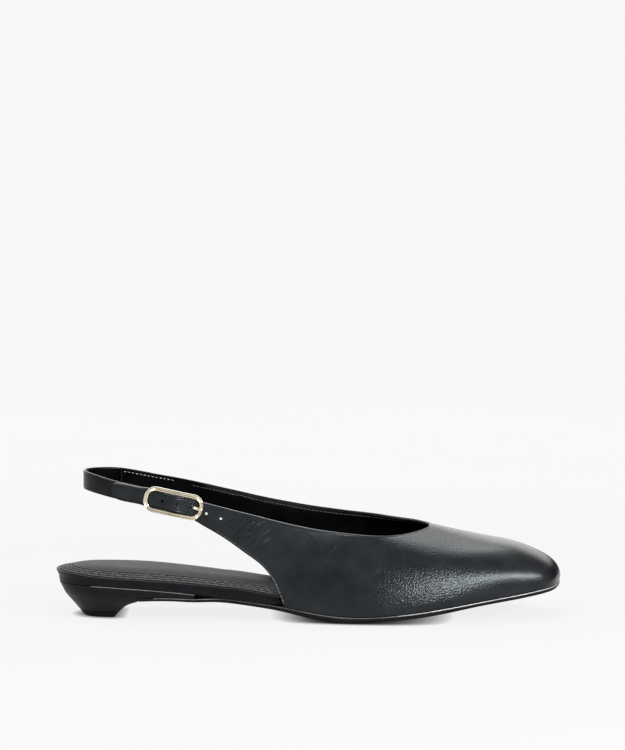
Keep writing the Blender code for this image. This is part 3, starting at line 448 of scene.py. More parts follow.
def spline(knots, rows):
    """Natural cubic spline through rows of numbers at rising knots, as a function of the knot value."""
    knots = np.asarray(knots, float)
    rows = np.asarray(rows, float).reshape(len(knots), -1)
    count = len(knots)
    gaps = np.diff(knots)
    slopes = np.diff(rows, axis=0) / gaps[:, None]
    system = np.eye(count)
    wanted = np.zeros_like(rows)
    for i in range(1, count - 1):
        system[i, i - 1 : i + 2] = gaps[i - 1], 2 * (gaps[i - 1] + gaps[i]), gaps[i]
        wanted[i] = 6 * (slopes[i] - slopes[i - 1])
    bends = np.linalg.solve(system, wanted)

    def value(at):
        i = int(np.clip(np.searchsorted(knots, at) - 1, 0, count - 2))
        before = knots[i + 1] - at
        after = at - knots[i]
        gap = gaps[i]
        curved = (bends[i] * before**3 + bends[i + 1] * after**3) / (6 * gap)
        left = (rows[i] / gap - bends[i] * gap / 6) * before
        right = (rows[i + 1] / gap - bends[i + 1] * gap / 6) * after
        return curved + left + right

    return value


def column(table, name):
    """One named column of a table as a smooth function of the place along the shoe."""
    curve = spline([row.along for row in table], [getattr(row, name) for row in table])
    return lambda along: float(curve(along)[0])


def chord_lengths(points):
    steps = np.linalg.norm(np.diff(np.asarray(points, float), axis=0), axis=1)
    return np.concatenate([[0.0], np.cumsum(steps)])


def smooth_step(low, high, value):
    share = np.clip((value - low) / (high - low), 0.0, 1.0)
    return share * share * (3 - 2 * share)


def bell(distance, width):
    return np.exp(-((distance / width) ** 2))


class Edge:
    """The shoe's edge in plan. Places on it run from 0 at the heel back to 1 at the toe along the outer side,
    and on to 2 back along the inner side."""

    def __init__(self, rows, toe_row):
        wrapped = list(rows[-EDGE_WRAP:]) + list(rows) + list(rows[: EDGE_WRAP + 1])
        lengths = chord_lengths(wrapped)
        self.curve = spline(lengths, wrapped)
        self.start = lengths[EDGE_WRAP]
        self.toe = lengths[EDGE_WRAP + toe_row]
        self.end = lengths[EDGE_WRAP + len(rows)]
        places = np.linspace(0.0, 2.0, 2 * EDGE_SAMPLES + 1)
        self.places = places
        self.alongs = np.array([self.point(place, 0.0)[0] for place in places])

    def length_at(self, place):
        if place <= 1.0:
            return self.start + place * (self.toe - self.start)
        return self.toe + (place - 1.0) * (self.end - self.toe)

    def point(self, place, inset):
        """The edge's plan point, moved inwards."""
        length = self.length_at(place)
        tangent = self.curve(length + TANGENT_STEP) - self.curve(length - TANGENT_STEP)
        tangent /= np.linalg.norm(tangent)
        inwards = np.array([-tangent[1], tangent[0]])
        return self.curve(length) + inwards * inset

    def outer_place(self, along):
        return float(np.interp(along, self.alongs[: EDGE_SAMPLES + 1], self.places[: EDGE_SAMPLES + 1]))

    def inner_place(self, along):
        inner = slice(EDGE_SAMPLES, 2 * EDGE_SAMPLES + 1)
        return float(np.interp(-along, -self.alongs[inner], self.places[inner]))


EDGE = Edge(SHOE_EDGE, TOE_ROW)
tread_curve = column(SOLE_ROWS, "tread")
sole_thickness_curve = column(SOLE_ROWS, "thickness")
sole_inset = column(SOLE_ROWS, "inset")
seat_curve = column(SEAT_ROWS, "seat")
board_curve = column(SEAT_ROWS, "board")
arch_curve = column(SEAT_ROWS, "arch")
outer_strap_curve = column(STRAP_ROWS, "outer")
inner_strap_curve = column(STRAP_ROWS, "inner")


def tread(along):
    """Underside of the sole, flat on the floor under the ball."""
    return max(0.0, tread_curve(along))


def sole_top(along):
    return tread(along) + sole_thickness_curve(along)


def board_under(along):
    """Underside of the footbed: on the heel seat at the back, on the sole in front."""
    seat = seat_curve(along)
    if along < OUTSOLE_BACK:
        return seat
    return max(seat, sole_top(along) + GAP)


def board_top(along):
    return board_under(along) + board_curve(along)


def board_inset(along):
    """How far the footbed draws in to stand inside the upper."""
    return BOARD_UPPER_CLEARANCE * float(smooth_step(BOARD_FREE_TO, BOARD_COVERED_FROM, along))


def insole_under(along):
    return board_top(along) + GAP


def insole_side(along):
    return insole_under(along) + INSOLE_SIDE_SHARE * INSOLE_EDGE


def insole_edge_top(along):
    return insole_under(along) + INSOLE_EDGE


def world(along, across, up):
    return Vector(((along - LENGTH / 2) * MM, across * MM, up * MM))


def world_rows(points):
    """World points in metres from an array of shoe points in millimetres."""
    points = np.asarray(points, float).reshape(-1, 3)
    return (points - (LENGTH / 2, 0.0, 0.0)) * MM


# Materials


def nodes_of(material):
    material.use_nodes = True
    return material.node_tree.nodes, material.node_tree.links


MOTTLE_DETAIL = 4.0
FINE_DETAIL = 2.0
PEBBLE_SMOOTHNESS = 0.4


def noise_node(material, place, size, detail=MOTTLE_DETAIL):
    """Noise over the object's own coordinates, its grain size in millimetres."""
    nodes, links = nodes_of(material)
    noise = nodes.new("ShaderNodeTexNoise")
    noise.inputs["Scale"].default_value = 1.0 / (size * MM)
    noise.inputs["Detail"].default_value = detail
    links.new(place, noise.inputs["Vector"])
    return noise.outputs["Fac"]


def pebble_node(material, place, size):
    """Rounded leather pebbles of a size in millimetres."""
    nodes, links = nodes_of(material)
    cells = nodes.new("ShaderNodeTexVoronoi")
    cells.feature = "SMOOTH_F1"
    cells.inputs["Scale"].default_value = 1.0 / (size * MM)
    cells.inputs["Smoothness"].default_value = PEBBLE_SMOOTHNESS
    links.new(place, cells.inputs["Vector"])
    turned = nodes.new("ShaderNodeMath")
    turned.operation = "SUBTRACT"
    turned.inputs[0].default_value = 1.0
    links.new(cells.outputs["Distance"], turned.inputs[1])
    return turned.outputs["Value"]


def bump_node(material, height, depth, before=None):
    """Bump of a depth in millimetres, on top of another one."""
    nodes, links = nodes_of(material)
    bump = nodes.new("ShaderNodeBump")
    bump.inputs["Strength"].default_value = 1.0
    bump.inputs["Distance"].default_value = depth * MM
    links.new(height, bump.inputs["Height"])
    if before:
        links.new(before, bump.inputs["Normal"])
    return bump.outputs["Normal"]


def ramp_node(material, value, low, high, from_share=0.35, to_share=0.65):
    """Blend of two colours by a value."""
    nodes, links = nodes_of(material)
    ramp = nodes.new("ShaderNodeValToRGB")
    ramp.color_ramp.elements[0].position = from_share
    ramp.color_ramp.elements[0].color = (*low, 1.0)
    ramp.color_ramp.elements[1].position = to_share
    ramp.color_ramp.elements[1].color = (*high, 1.0)
    links.new(value, ramp.inputs["Fac"])
    return ramp.outputs["Color"]


def stops_node(material, value, stops):
    """Grey by a value from 0 to 1, through pairs of a value and its grey."""
    nodes, links = nodes_of(material)
    ramp = nodes.new("ShaderNodeValToRGB")
    elements = ramp.color_ramp.elements
    while len(elements) < len(stops):
        elements.new(1.0)
    for element, (place, grey) in zip(elements, stops):
        element.position = place
        element.color = (grey, grey, grey, 1.0)
    links.new(value, ramp.inputs["Fac"])
    return ramp.outputs["Color"]


def range_node(material, value, low, high, from_low=0.0, from_high=1.0):
    """Maps a value from one range to another."""
    nodes, links = nodes_of(material)
    mapped = nodes.new("ShaderNodeMapRange")
    mapped.inputs["From Min"].default_value = from_low
    mapped.inputs["From Max"].default_value = from_high
    mapped.inputs["To Min"].default_value = low
    mapped.inputs["To Max"].default_value = high
    links.new(value, mapped.inputs["Value"])
    return mapped.outputs["Result"]


# Grain: size and depth of the pebbles and of the fine grain between them, in millimetres
Grain = namedtuple("Grain", "pebble pebble_depth fine fine_depth")
PEBBLED = Grain(0.95, 0.145, 0.22, 0.012)
LINED = Grain(0.9, 0.010, 0.3, 0.004)
CUT = Grain(0.6, 0.010, 0.2, 0.006)
STRAPPED = Grain(0.75, 0.050, 0.22, 0.014)
WRAPPED = Grain(0.8, 0.024, 0.25, 0.008)
PADDED = Grain(0.9, 0.014, 0.3, 0.006)
COVERED = Grain(0.8, 0.016, 0.25, 0.006)
RUBBER = Grain(0.6, 0.014, 0.2, 0.008)
HARD_RUBBER = Grain(0.5, 0.014, 0.2, 0.008)
LINE = Grain(0.6, 0.004, 0.2, 0.004)
TWISTED = Grain(0.3, 0.010, 0.15, 0.006)
POLISHED = Grain(0.5, 0.002, 0.15, 0.002)

# Finish: two colours, the size of their mottling in millimetres, the range of roughness, the grain, how much
# light the surface mirrors and in what tint
NEUTRAL = (0.96, 0.97, 1.0, 1.0)
COOL = (0.86, 0.96, 1.0, 1.0)
WARM = (0.97, 0.93, 1.0, 1.0)
Finish = namedtuple(
    "Finish",
    "dark pale mottle rough_low rough_high grain specular tint metallic",
    defaults=(NEUTRAL, 0.0),
)
FINISHES = {
    "leather": Finish((0.005, 0.0055, 0.0062), (0.009, 0.0098, 0.011), 9.0, 0.21, 0.29, PEBBLED, 0.25, COOL),
    # The black lining, made near black and hardly mirroring: partly its own colour, partly painted shade for
    # the inside of the shoe
    "lining": Finish((0.0006, 0.0006, 0.0008), (0.0016, 0.0016, 0.002), 12.0, 0.40, 0.52, LINED, 0.010),
    # Painted highlight for rounded top edges that catch the light: the near side's top edge and the heel
    # strap's top edge
    "edge_highlight": Finish((0.06, 0.061, 0.063), (0.10, 0.101, 0.104), 5.0, 0.28, 0.40, CUT, 0.5),
    # The turned-in leather inside the folded border, and painted shade on the cut edges
    "dark_edge_and_shade": Finish((0.003, 0.003, 0.0035), (0.006, 0.006, 0.0065), 5.0, 0.40, 0.52, CUT, 0.06),
    "strap": Finish((0.003, 0.0028, 0.0036), (0.006, 0.0057, 0.007), 7.0, 0.28, 0.38, STRAPPED, 0.18, WARM),
    "footbed": Finish((0.0025, 0.0023, 0.0031), (0.005, 0.0047, 0.006), 8.0, 0.36, 0.48, WRAPPED, 0.11, WARM),
    "insole": Finish((0.008, 0.008, 0.0085), (0.013, 0.013, 0.0135), 11.0, 0.46, 0.58, PADDED, 0.12),
    # Painted shade for the insole's sewn channels
    "insole_channel_shade": Finish((0.002, 0.002, 0.0025), (0.004, 0.004, 0.0045), 5.0, 0.60, 0.72, PADDED, 0.05),
    "heel": Finish((0.0035, 0.0033, 0.0044), (0.006, 0.0057, 0.007), 8.0, 0.36, 0.48, COVERED, 0.12, WARM),
    "sole": Finish((0.003, 0.003, 0.0035), (0.006, 0.006, 0.0065), 6.0, 0.50, 0.65, RUBBER, 0.10, WARM),
    "tip": Finish((0.003, 0.003, 0.0035), (0.005, 0.005, 0.0055), 5.0, 0.55, 0.70, HARD_RUBBER, 0.12, WARM),
    # Painted highlights along the edge line of the sole and of the heel, stepping paler towards the toe
    "faint_highlight": Finish((0.08, 0.08, 0.079), (0.14, 0.14, 0.138), 7.0, 0.40, 0.55, LINE, 0.4),
    "dim_highlight": Finish((0.05, 0.0495, 0.049), (0.085, 0.084, 0.083), 7.0, 0.30, 0.45, LINE, 0.4),
    "grey_highlight": Finish((0.16, 0.159, 0.157), (0.23, 0.228, 0.225), 7.0, 0.30, 0.45, LINE, 0.5),
    "pale_highlight": Finish((0.30, 0.297, 0.293), (0.41, 0.406, 0.40), 7.0, 0.30, 0.45, LINE, 0.5),
    "thread": Finish((0.085, 0.085, 0.089), (0.15, 0.15, 0.154), 3.0, 0.40, 0.55, TWISTED, 0.5),
    "insole_thread": Finish((0.075, 0.075, 0.077), (0.12, 0.12, 0.122), 3.0, 0.40, 0.55, TWISTED, 0.4),
    # The same thread painted darker as shade, and paler as a painted highlight
    "thread_painted_shade": Finish((0.03, 0.03, 0.031), (0.05, 0.05, 0.051), 3.0, 0.50, 0.62, TWISTED, 0.25),
    "thread_painted_highlight": Finish((0.20, 0.20, 0.197), (0.31, 0.31, 0.304), 3.0, 0.45, 0.60, TWISTED, 0.5),
    "gold": Finish((0.76, 0.68, 0.52), (0.87, 0.81, 0.67), 6.0, 0.15, 0.24, POLISHED, 0.5, NEUTRAL, 1.0),
}


# How strong the leather's grain is along the shoe: clear on the side of the ball, stretched flat at the toe
GrainStop = namedtuple("GrainStop", "along strength")
GRAIN_STOPS = table(
    GrainStop,
    (144.0, 0.20),
    (168.0, 0.90),
    (198.0, 0.90),
    (226.0, 0.30),
)


def grain_share(material, place):
    nodes, links = nodes_of(material)
    parts = nodes.new("ShaderNodeSeparateXYZ")
    links.new(place, parts.inputs["Vector"])
    half = LENGTH / 2 * MM
    share = range_node(material, parts.outputs["X"], 0.0, 1.0, -half, half)
    return stops_node(material, share, [(row.along / LENGTH, row.strength) for row in GRAIN_STOPS])


def made_finish(name):
    """Procedural material: mottled colour, uneven gloss, pebbled and fine grain."""
    if name in bpy.data.materials:
        return bpy.data.materials[name]
    kind = FINISHES[name]
    material = bpy.data.materials.new(name)
    nodes, links = nodes_of(material)
    shader = nodes["Principled BSDF"]
    place = nodes.new("ShaderNodeTexCoord").outputs["Object"]
    mottle = noise_node(material, place, kind.mottle)
    links.new(ramp_node(material, mottle, kind.dark, kind.pale), shader.inputs["Base Color"])
    gloss = noise_node(material, place, kind.mottle / 3)
    links.new(range_node(material, gloss, kind.rough_low, kind.rough_high), shader.inputs["Roughness"])
    grain = bump_node(material, pebble_node(material, place, kind.grain.pebble), kind.grain.pebble_depth)
    if name == "leather":
        links.new(grain_share(material, place), grain.node.inputs["Strength"])
    fine_noise = noise_node(material, place, kind.grain.fine, FINE_DETAIL)
    fine = bump_node(material, fine_noise, kind.grain.fine_depth, grain)
    links.new(fine, shader.inputs["Normal"])
    shader.inputs["Metallic"].default_value = kind.metallic
    shader.inputs["Specular IOR Level"].default_value = kind.specular
    if not kind.metallic:
        shader.inputs["Specular Tint"].default_value = kind.tint
    return material


# Meshes


def shown_object(maker, name, finishes, smooth_angle=60.0):
    """Object from a filled bmesh with its points joined and its finishes in order."""
    bmesh.ops.remove_doubles(maker, verts=maker.verts, dist=JOIN_DISTANCE * MM)
    mesh = bpy.data.meshes.new(name)
    maker.to_mesh(mesh)
    maker.free()
    mesh.shade_smooth()
    mesh.set_sharp_from_angle(angle=math.radians(smooth_angle))
    for finish in finishes:
        mesh.materials.append(made_finish(finish))
    made = bpy.data.objects.new(name, mesh)
    bpy.context.scene.collection.objects.link(made)
    return made


def outwards(maker):
    """Turns all faces of a closed mesh outwards."""
    bmesh.ops.remove_doubles(maker, verts=maker.verts, dist=JOIN_DISTANCE * MM)
    bmesh.ops.recalc_face_normals(maker, faces=maker.faces)
    return maker


def face(maker, corners, finish=0):
    """Adds a face, leaving out corners that fall together."""
    distinct = list(dict.fromkeys(corners))
    if len(distinct) > 2:
        made = maker.faces.new(distinct)
        made.material_index = finish


def plain_finish(ring, point):
    return 0


def loft(rings, cap_first=True, cap_last=True, finish_of=plain_finish):
    """Surface through rings of equally many world points, as a bmesh. finish_of tells the finish of the face
    after each ring and point."""
    made = bmesh.new()
    corners = [[made.verts.new(point) for point in ring] for ring in rings]
    for k, (ring, following) in enumerate(zip(corners, corners[1:])):
        for i in range(len(ring)):
            j = (i + 1) % len(ring)
            face(made, (ring[i], ring[j], following[j], following[i]), finish_of(k, i))
    if cap_first:
        face(made, corners[0])
    if cap_last:
        face(made, corners[-1])
    return outwards(made)


def wire_mesh(points, radius, closed=False):
    """Round wire through world points, as a bmesh."""
    data = bpy.data.curves.new("wire", "CURVE")
    data.dimensions = "3D"
    data.bevel_depth = radius * MM
    data.bevel_resolution = WIRE_SIDES
    data.use_fill_caps = not closed
    path = data.splines.new("POLY")
    path.points.add(len(points) - 1)
    for point, place in zip(path.points, points):
        point.co = (*place, 1.0)
    path.use_cyclic_u = closed
    holder = bpy.data.objects.new("wire", data)
    bpy.context.scene.collection.objects.link(holder)
    bpy.context.view_layer.update()
    graph = bpy.context.evaluated_depsgraph_get()
    mesh = bpy.data.meshes.new_from_object(holder.evaluated_get(graph))
    made = bmesh.new()
    made.from_mesh(mesh)
    bpy.data.meshes.remove(mesh)
    bpy.data.objects.remove(holder)
    bpy.data.curves.remove(data)
    return outwards(made)


def joined(makers):
    """One bmesh out of several."""
    whole = bmesh.new()
    for maker in makers:
        mesh = bpy.data.meshes.new("joined")
        maker.to_mesh(mesh)
        maker.free()
        whole.from_mesh(mesh)
        bpy.data.meshes.remove(mesh)
    return whole


def cut_out(target, cutters):
    """Takes the cutters out of the target for good."""
    for cutter in cutters:
        modifier = target.modifiers.new("cut", "BOOLEAN")
        modifier.operation = "DIFFERENCE"
        modifier.solver = "EXACT"
        modifier.object = cutter
    bpy.context.view_layer.update()
    graph = bpy.context.evaluated_depsgraph_get()
    mesh = bpy.data.meshes.new_from_object(target.evaluated_get(graph))
    target.modifiers.clear()
    old = target.data
    target.data = mesh
    bpy.data.meshes.remove(old)
    for cutter in cutters:
        bpy.data.objects.remove(cutter)


# Heel strap's loop in plan


def loop_middle(angle):
    back = max(math.cos(angle), 0.0) ** (2 / LOOP_POWER)
    side = math.copysign(abs(math.sin(angle)) ** (2 / LOOP_POWER), angle)
    along = LOOP_CENTRE - (LOOP_CENTRE - LOOP_BACK) * back
    return np.array([along, LOOP_SHIFT + LOOP_HALF_WIDTH * side])


def loop_point(angle, out):
    """Plan point of the strap's middle line, moved outwards. The angle is -90 degrees on the outer side, 0 at
    the back of the heel and 90 on the inner side."""
    tangent = loop_middle(angle + LOOP_TANGENT_STEP) - loop_middle(angle - LOOP_TANGENT_STEP)
    tangent /= np.linalg.norm(tangent)
    return loop_middle(angle) + out * np.array([-tangent[1], tangent[0]])


LOOP_ANGLES = np.radians(np.linspace(2.0, 89.0, 200))


def beside_loop(along, side, out):
    """Distance across where the loop, moved outwards, reaches a station on one side of the foot."""
    points = np.array([loop_point(side * angle, out) for angle in LOOP_ANGLES])
    return float(np.interp(along, points[:, 0], points[:, 1]))


TAIL_OUTWARDS = SLING_THICKNESS / 2 + GAP + WALL
LAP_INWARDS = -SLING_THICKNESS / 2 - GAP
TAIL_TIP_STATIONS = tuple(TAIL_TIP + TAIL_ROUND * share for share in (0.0, 0.15, 0.45, 1.0))
TAIL_STATIONS = TAIL_TIP_STATIONS + (40.0, 47.0, 54.0, 60.0, 64.0, 67.0)
LAP_STATIONS = (65.0, 56.0, 47.0, 40.0, 35.0, INNER_QUARTER_END)


def strap_rib(along, across, middle, half_width):
    """Upright rib of a strap, its width measured square to the strap's slope."""
    half = half_width / math.cos(STRAP_SLOPE)
    return WingRib(along, across, middle - half, along, across, middle + half)


def tail_rib(along):
    """Rib of the outer strap, rounded off towards its tip."""
    share = min((along - TAIL_TIP) / TAIL_ROUND, 1.0)
    rounded = TAIL_TIP_SHARE + (1 - TAIL_TIP_SHARE) * math.sqrt(1 - (1 - share) ** 2)
    across = beside_loop(along, -1, TAIL_OUTWARDS)
    return strap_rib(along, across, outer_strap_curve(along), rounded * STRAP_WIDTH / 2)


def lap_rib(along):
    """Rib of the inner quarter's end, which the sling laps over."""
    across = beside_loop(along, 1, LAP_INWARDS)
    return strap_rib(along, across, inner_strap_curve(along), STRAP_WIDTH / 2)


def weave(along):
    """How far the strap lifts over the buckle's bar, between the two ends of the frame."""
    share = np.clip((along - BUCKLE_CENTRE) / WEAVE_HALF_SPAN, -1.0, 1.0)
    return WEAVE_RISE * np.cos(share * math.pi / 2) ** 2


class Upper:
    """The outer face of the upper, as a function of the place along its ribs and the height on a rib."""

    def __init__(self):
        outer = [tail_rib(along) for along in TAIL_STATIONS] + list(OUTER_WING)
        inner = list(INNER_WING) + [lap_rib(along) for along in LAP_STATIONS]
        vamp = list(OUTER_VAMP) + [TOE_RIB] + list(INNER_VAMP)
        edge_places = [EDGE.outer_place(rib.foot_along) for rib in OUTER_VAMP] + [1.0]
        edge_places += [EDGE.inner_place(rib.foot_along) for rib in INNER_VAMP]
        edge_feet = [self.edge_foot(place) for place in edge_places]
        feet = [(rib.foot_along, rib.foot_across, rib.foot_up) for rib in outer] + edge_feet
        feet += [(rib.foot_along, rib.foot_across, rib.foot_up) for rib in inner]
        tops = [(rib.top_along, rib.top_across, rib.top_up) for rib in outer + vamp + inner]
        forms = [(WING_TURN, WING_POWER, 0.0)] * len(outer)
        forms += [(rib.turn, rib.power, rib.sink) for rib in vamp]
        forms += [(WING_TURN, WING_POWER, 0.0)] * len(inner)
        stretched = np.array(feet) * (1.0, TOE_CLOSENESS, 1.0)
        knots = (chord_lengths(stretched) + chord_lengths(tops)) / 2
        first = len(outer)
        last = first + len(vamp) - 1
        self.first_corner = knots[first]
        self.last_corner = knots[last]
        self.toe = (self.first_corner + self.last_corner) / 2
        self.length = knots[-1]
        self.tops = spline(knots, tops)
        self.forms = spline(knots, forms)
        self.outer_feet = spline(knots[: first + 1], feet[: first + 1])
        self.places = spline(knots[first : last + 1], edge_places)
        self.inner_feet = spline(knots[last:], feet[last:])

    @staticmethod
    def edge_foot(place):
        along, across = EDGE.point(place, 0.0)
        return (along, across, sole_top(along) + GAP)

    def on_sole(self, knot):
        return self.first_corner <= knot <= self.last_corner

    def foot(self, knot):
        if knot < self.first_corner:
            return self.outer_feet(knot)
        if knot > self.last_corner:
            return self.inner_feet(knot)
        return np.array(self.edge_foot(float(self.places(knot)[0])))

    def rib(self, knot, shares):
        """Points on the rib at a knot, from its foot (0) to the top line (1)."""
        foot = self.foot(knot)
        top = self.tops(knot)
        turn, power, sink = self.forms(knot)
        turn = math.radians(turn)
        rise = (np.sin(turn * shares) / math.sin(turn)) ** power
        run = (1 - np.cos(turn * shares)) / (1 - math.cos(turn))
        points = foot + (top - foot) * np.stack([run, run, rise], axis=1)
        shoulder = np.exp(-(((shares - TOE_SHOULDER_AT) / TOE_SHOULDER_WIDTH) ** 2))
        points[:, 2] += sink * (TOE_SHOULDER * shoulder - 4 * shares**2 * (1 - shares**2))
        if self.on_sole(knot):
            height = points[:, 2] - foot[2]
            tucked = FEATHER_TUCK * np.maximum(0.0, 1 - height / FEATHER_TUCK_HEIGHT) ** 2
            place = float(self.places(knot)[0])
            inwards = EDGE.point(place, 1.0) - EDGE.point(place, 0.0)
            points[:, :2] += tucked[:, None] * inwards
        return points

    def shown_rib(self, knot):
        """The rib at rows that crowd towards its two ends, with each row's distance from the foot and top."""
        fine = np.linspace(0.0, 1.0, RIB_SAMPLES) ** RIB_CROWDING
        lengths = chord_lengths(self.rib(knot, fine))
        whole = lengths[-1]
        ends = np.array(EDGE_ROWS)
        middle = np.linspace(ends[-1], whole - ends[-1], MIDDLE_ROWS + 2)[1:-1]
        rows = np.concatenate([ends, middle, whole - ends[::-1]])
        points = self.rib(knot, np.interp(rows, lengths, fine))
        if knot < self.first_corner:
            points[:, 1] -= weave(points[:, 0])
            framed = smooth_step(*FRAME_FILL_FROM, points[:, 0]) - smooth_step(*FRAME_FILL_TO, points[:, 0])
            flat = 1 - weave(points[:, 0]) / WEAVE_RISE
            points[:, 2] += (FRAME_FILL + FRAME_FILL_FLAT * flat) * framed * (2 * rows / whole - 1)
        return points, rows, whole - rows

    def shown_knots(self):
        """Knots close together on the outer quarter, where the creases are, and at both strap ends."""
        ends = np.array(EDGE_ROWS)
        quarter = np.arange(ends[-1] + QUARTER_STEP, self.first_corner - QUARTER_STEP / 2, QUARTER_STEP)
        vamp = np.linspace(self.first_corner, self.last_corner, VAMP_COLUMNS)
        inner_count = int((self.length - self.last_corner) / INNER_STEP)
        inner = np.linspace(self.last_corner, self.length - ends[-1], inner_count)[1:-1]
        return np.concatenate([ends, quarter, vamp, inner, self.length - ends[::-1]])


UPPER = Upper()
STRAP_FACE_KNOTS = np.linspace(0.0, UPPER.first_corner * STRAP_FACE_SHARE, STRAP_FACE_SAMPLES)
STRAP_FACE = np.array([UPPER.rib(knot, np.array([0.5]))[0] for knot in STRAP_FACE_KNOTS])


def strap_face(along):
    """Distance across of the outer strap's face, without the lift over the bar."""
    return float(np.interp(along, STRAP_FACE[:, 0], STRAP_FACE[:, 1]))


def strap_point(along, width, out):
    """World point beside the outer strap: at a station, above its middle line and out from its face."""
    rise = strap_face(along + FACE_STEP) - strap_face(along - FACE_STEP)
    turn = math.atan2(rise, 2 * FACE_STEP)
    middle = outer_strap_curve(BUCKLE_CENTRE)
    fall = math.tan(STRAP_SLOPE) * (along - BUCKLE_CENTRE)
    shifted = along + width * math.sin(STRAP_SLOPE)
    return world(
        shifted + out * math.sin(turn),
        strap_face(shifted) - out * math.cos(turn),
        middle - fall + width * math.cos(STRAP_SLOPE),
    )


def on_strap(along_strap, width, out):
    """World point from a distance along the sloping strap, measured from the buckle's middle."""
    return strap_point(BUCKLE_CENTRE + along_strap * math.cos(STRAP_SLOPE), width, out)


# Upper: outer face, folded edge, lining and creases


def crease_rise(points, creases):
    """Soft ridges with a shallow trough on either side of each."""
    place = points[..., (0, 2)]
    rise = np.zeros(points.shape[:-1])
    for crease in creases:
        start = np.array([crease.along_from, crease.up_from])
        end = np.array([crease.along_to, crease.up_to])
        length = np.linalg.norm(end - start)
        heading = (end - start) / length
        ahead = (place - start) @ heading
        aside = (place - start) @ np.array([-heading[1], heading[0]])
        share = np.clip(ahead / length, 0.0, 1.0)
        aside = aside - crease.bow * 4 * share * (1 - share)
        across = (aside / crease.width) ** 2
        fade = smooth_step(-CREASE_END_FADE, CREASE_END_FADE, ahead)
        fade = fade * smooth_step(-CREASE_END_FADE, CREASE_END_FADE, length - ahead)
        rise += crease.height * (1 - CREASE_TROUGH * across) * np.exp(-across) * fade
    return rise


def hole_place(index, out):
    """World point on the middle line of a punched hole. Those on the widening quarter lie lower."""
    drop = HOLE_DROPS[index]
    return strap_point(HOLE_FIRST + HOLE_PITCH * index + drop * math.sin(STRAP_SLOPE), -drop, out)


def hole_dimples(points):
    """How deep the leather is pressed in round the punched holes of the outer strap."""
    sunk = np.zeros(points.shape[:-1])
    for index in range(len(HOLE_DROPS)):
        middle = hole_place(index, 0.0)
        along = middle.x / MM + LENGTH / 2
        up = middle.z / MM
        distance = np.hypot(points[..., 0] - along, points[..., 2] - up)
        sunk += HOLE_DIMPLE_DEPTH * bell(distance, HOLE_DIMPLE_WIDTH)
    return sunk


class UpperSurface:
    """The upper's two faces as grids: columns from the strap's tip round the toe, rows up from the foot."""

    def __init__(self):
        self.knots = UPPER.shown_knots()
        self.free_foot = np.array([not UPPER.on_sole(knot) for knot in self.knots])
        ribs = [UPPER.shown_rib(knot) for knot in self.knots]
        self.base = np.array([rib[0] for rib in ribs])
        self.from_foot = np.array([rib[1] for rib in ribs])
        self.from_top = np.array([rib[2] for rib in ribs])
        by_column = np.gradient(self.base, axis=0)
        by_row = np.gradient(self.base, axis=1)
        normals = np.cross(by_column, by_row)
        self.normals = normals / np.linalg.norm(normals, axis=2, keepdims=True)
        self.to_edge = self.edge_distance()
        outer_side = (self.knots < UPPER.toe)[:, None]
        creases = np.where(
            outer_side, crease_rise(self.base, OUTER_CREASES), crease_rise(self.base, INNER_CREASES)
        )
        dimples = np.where(outer_side, hole_dimples(self.base), 0.0)
        radius = WALL / 2
        close = np.clip(radius - self.to_edge, 0.0, radius)
        rounded = radius - np.sqrt(radius**2 - close**2)
        swell = FOLD_SWELL * bell(self.to_edge - FOLD_SWELL_AT, FOLD_SWELL_WIDTH)
        seam = SEAM_DEPTH * bell(self.to_edge - SEAM_INSET, SEAM_WIDTH)
        away = smooth_step(0.0, radius, self.to_edge)
        outside = (creases - dimples + swell - seam) * away - rounded
        self.wide = smooth_step(*LINING_WIDTH, self.from_foot + self.from_top)
        step_from, step_to = LINING_FOLD - LINING_STEP_SOFT, LINING_FOLD + LINING_STEP_SOFT
        lining = LINING_STEP * self.wide * smooth_step(step_from, step_to, self.to_edge)
        inside = -WALL + rounded - lining
        self.outer = self.base + self.normals * outside[..., None]
        self.inner = self.base + self.normals * inside[..., None]

    def edge_distance(self):
        """Distance of each point from the nearest free edge; the feet on the sole don't count as one."""
        columns = self.base.shape[0]
        foot = np.where(self.free_foot[:, None], self.from_foot, np.inf)
        steps = np.linalg.norm(np.diff(self.base, axis=0), axis=2)
        from_first = np.concatenate([np.zeros((1, self.base.shape[1])), np.cumsum(steps, axis=0)])
        from_last = from_first[columns - 1] - from_first
        return np.minimum.reduce([self.from_top, foot, from_first, from_last])

    def row_line(self, row_distance, columns, inner_face=False, from_foot=False):
        """Line of points and outward normals at a distance from the top line or the foot."""
        distances = self.from_foot if from_foot else self.from_top
        faces = self.inner if inner_face else self.outer
        points = []
        normals = []
        for i in columns:
            j = int(np.argmin(np.abs(distances[i] - row_distance)))
            points.append(faces[i, j])
            normals.append(self.normals[i, j] * (-1.0 if inner_face else 1.0))
        return np.array(points), np.array(normals)

    def columns_between(self, low, high):
        return [i for i, knot in enumerate(self.knots) if low <= knot <= high]


UPPER_FINISHES = ("leather", "lining", "edge_highlight", "dark_edge_and_shade")
LEATHER, LINING, PAINTED_HIGHLIGHT_EDGE, DARK_EDGE = range(len(UPPER_FINISHES))


def upper_finish(surface, i, j):
    """Finishes of the outer and the inner face at a column and row: a painted highlight on the near side's
    rim, painted shade on the cut edge, and lined inside the folded border."""
    outside = LEATHER
    inside = DARK_EDGE
    if surface.to_edge[i, j] > STRAP_BORDER + (LINING_FOLD - STRAP_BORDER) * surface.wide[i, j]:
        inside = LINING
    # Painted highlight along the near side's top edge
    if surface.knots[i] < UPPER.toe and surface.from_top[i, j + 1] < RIM_WIDTH:
        outside = PAINTED_HIGHLIGHT_EDGE
        inside = PAINTED_HIGHLIGHT_EDGE
    # Painted shade on the free cut edge, where its rounding would catch light
    if surface.free_foot[i] and surface.from_foot[i, j] < CUT_EDGE_WIDTH:
        outside = DARK_EDGE
    return outside, inside


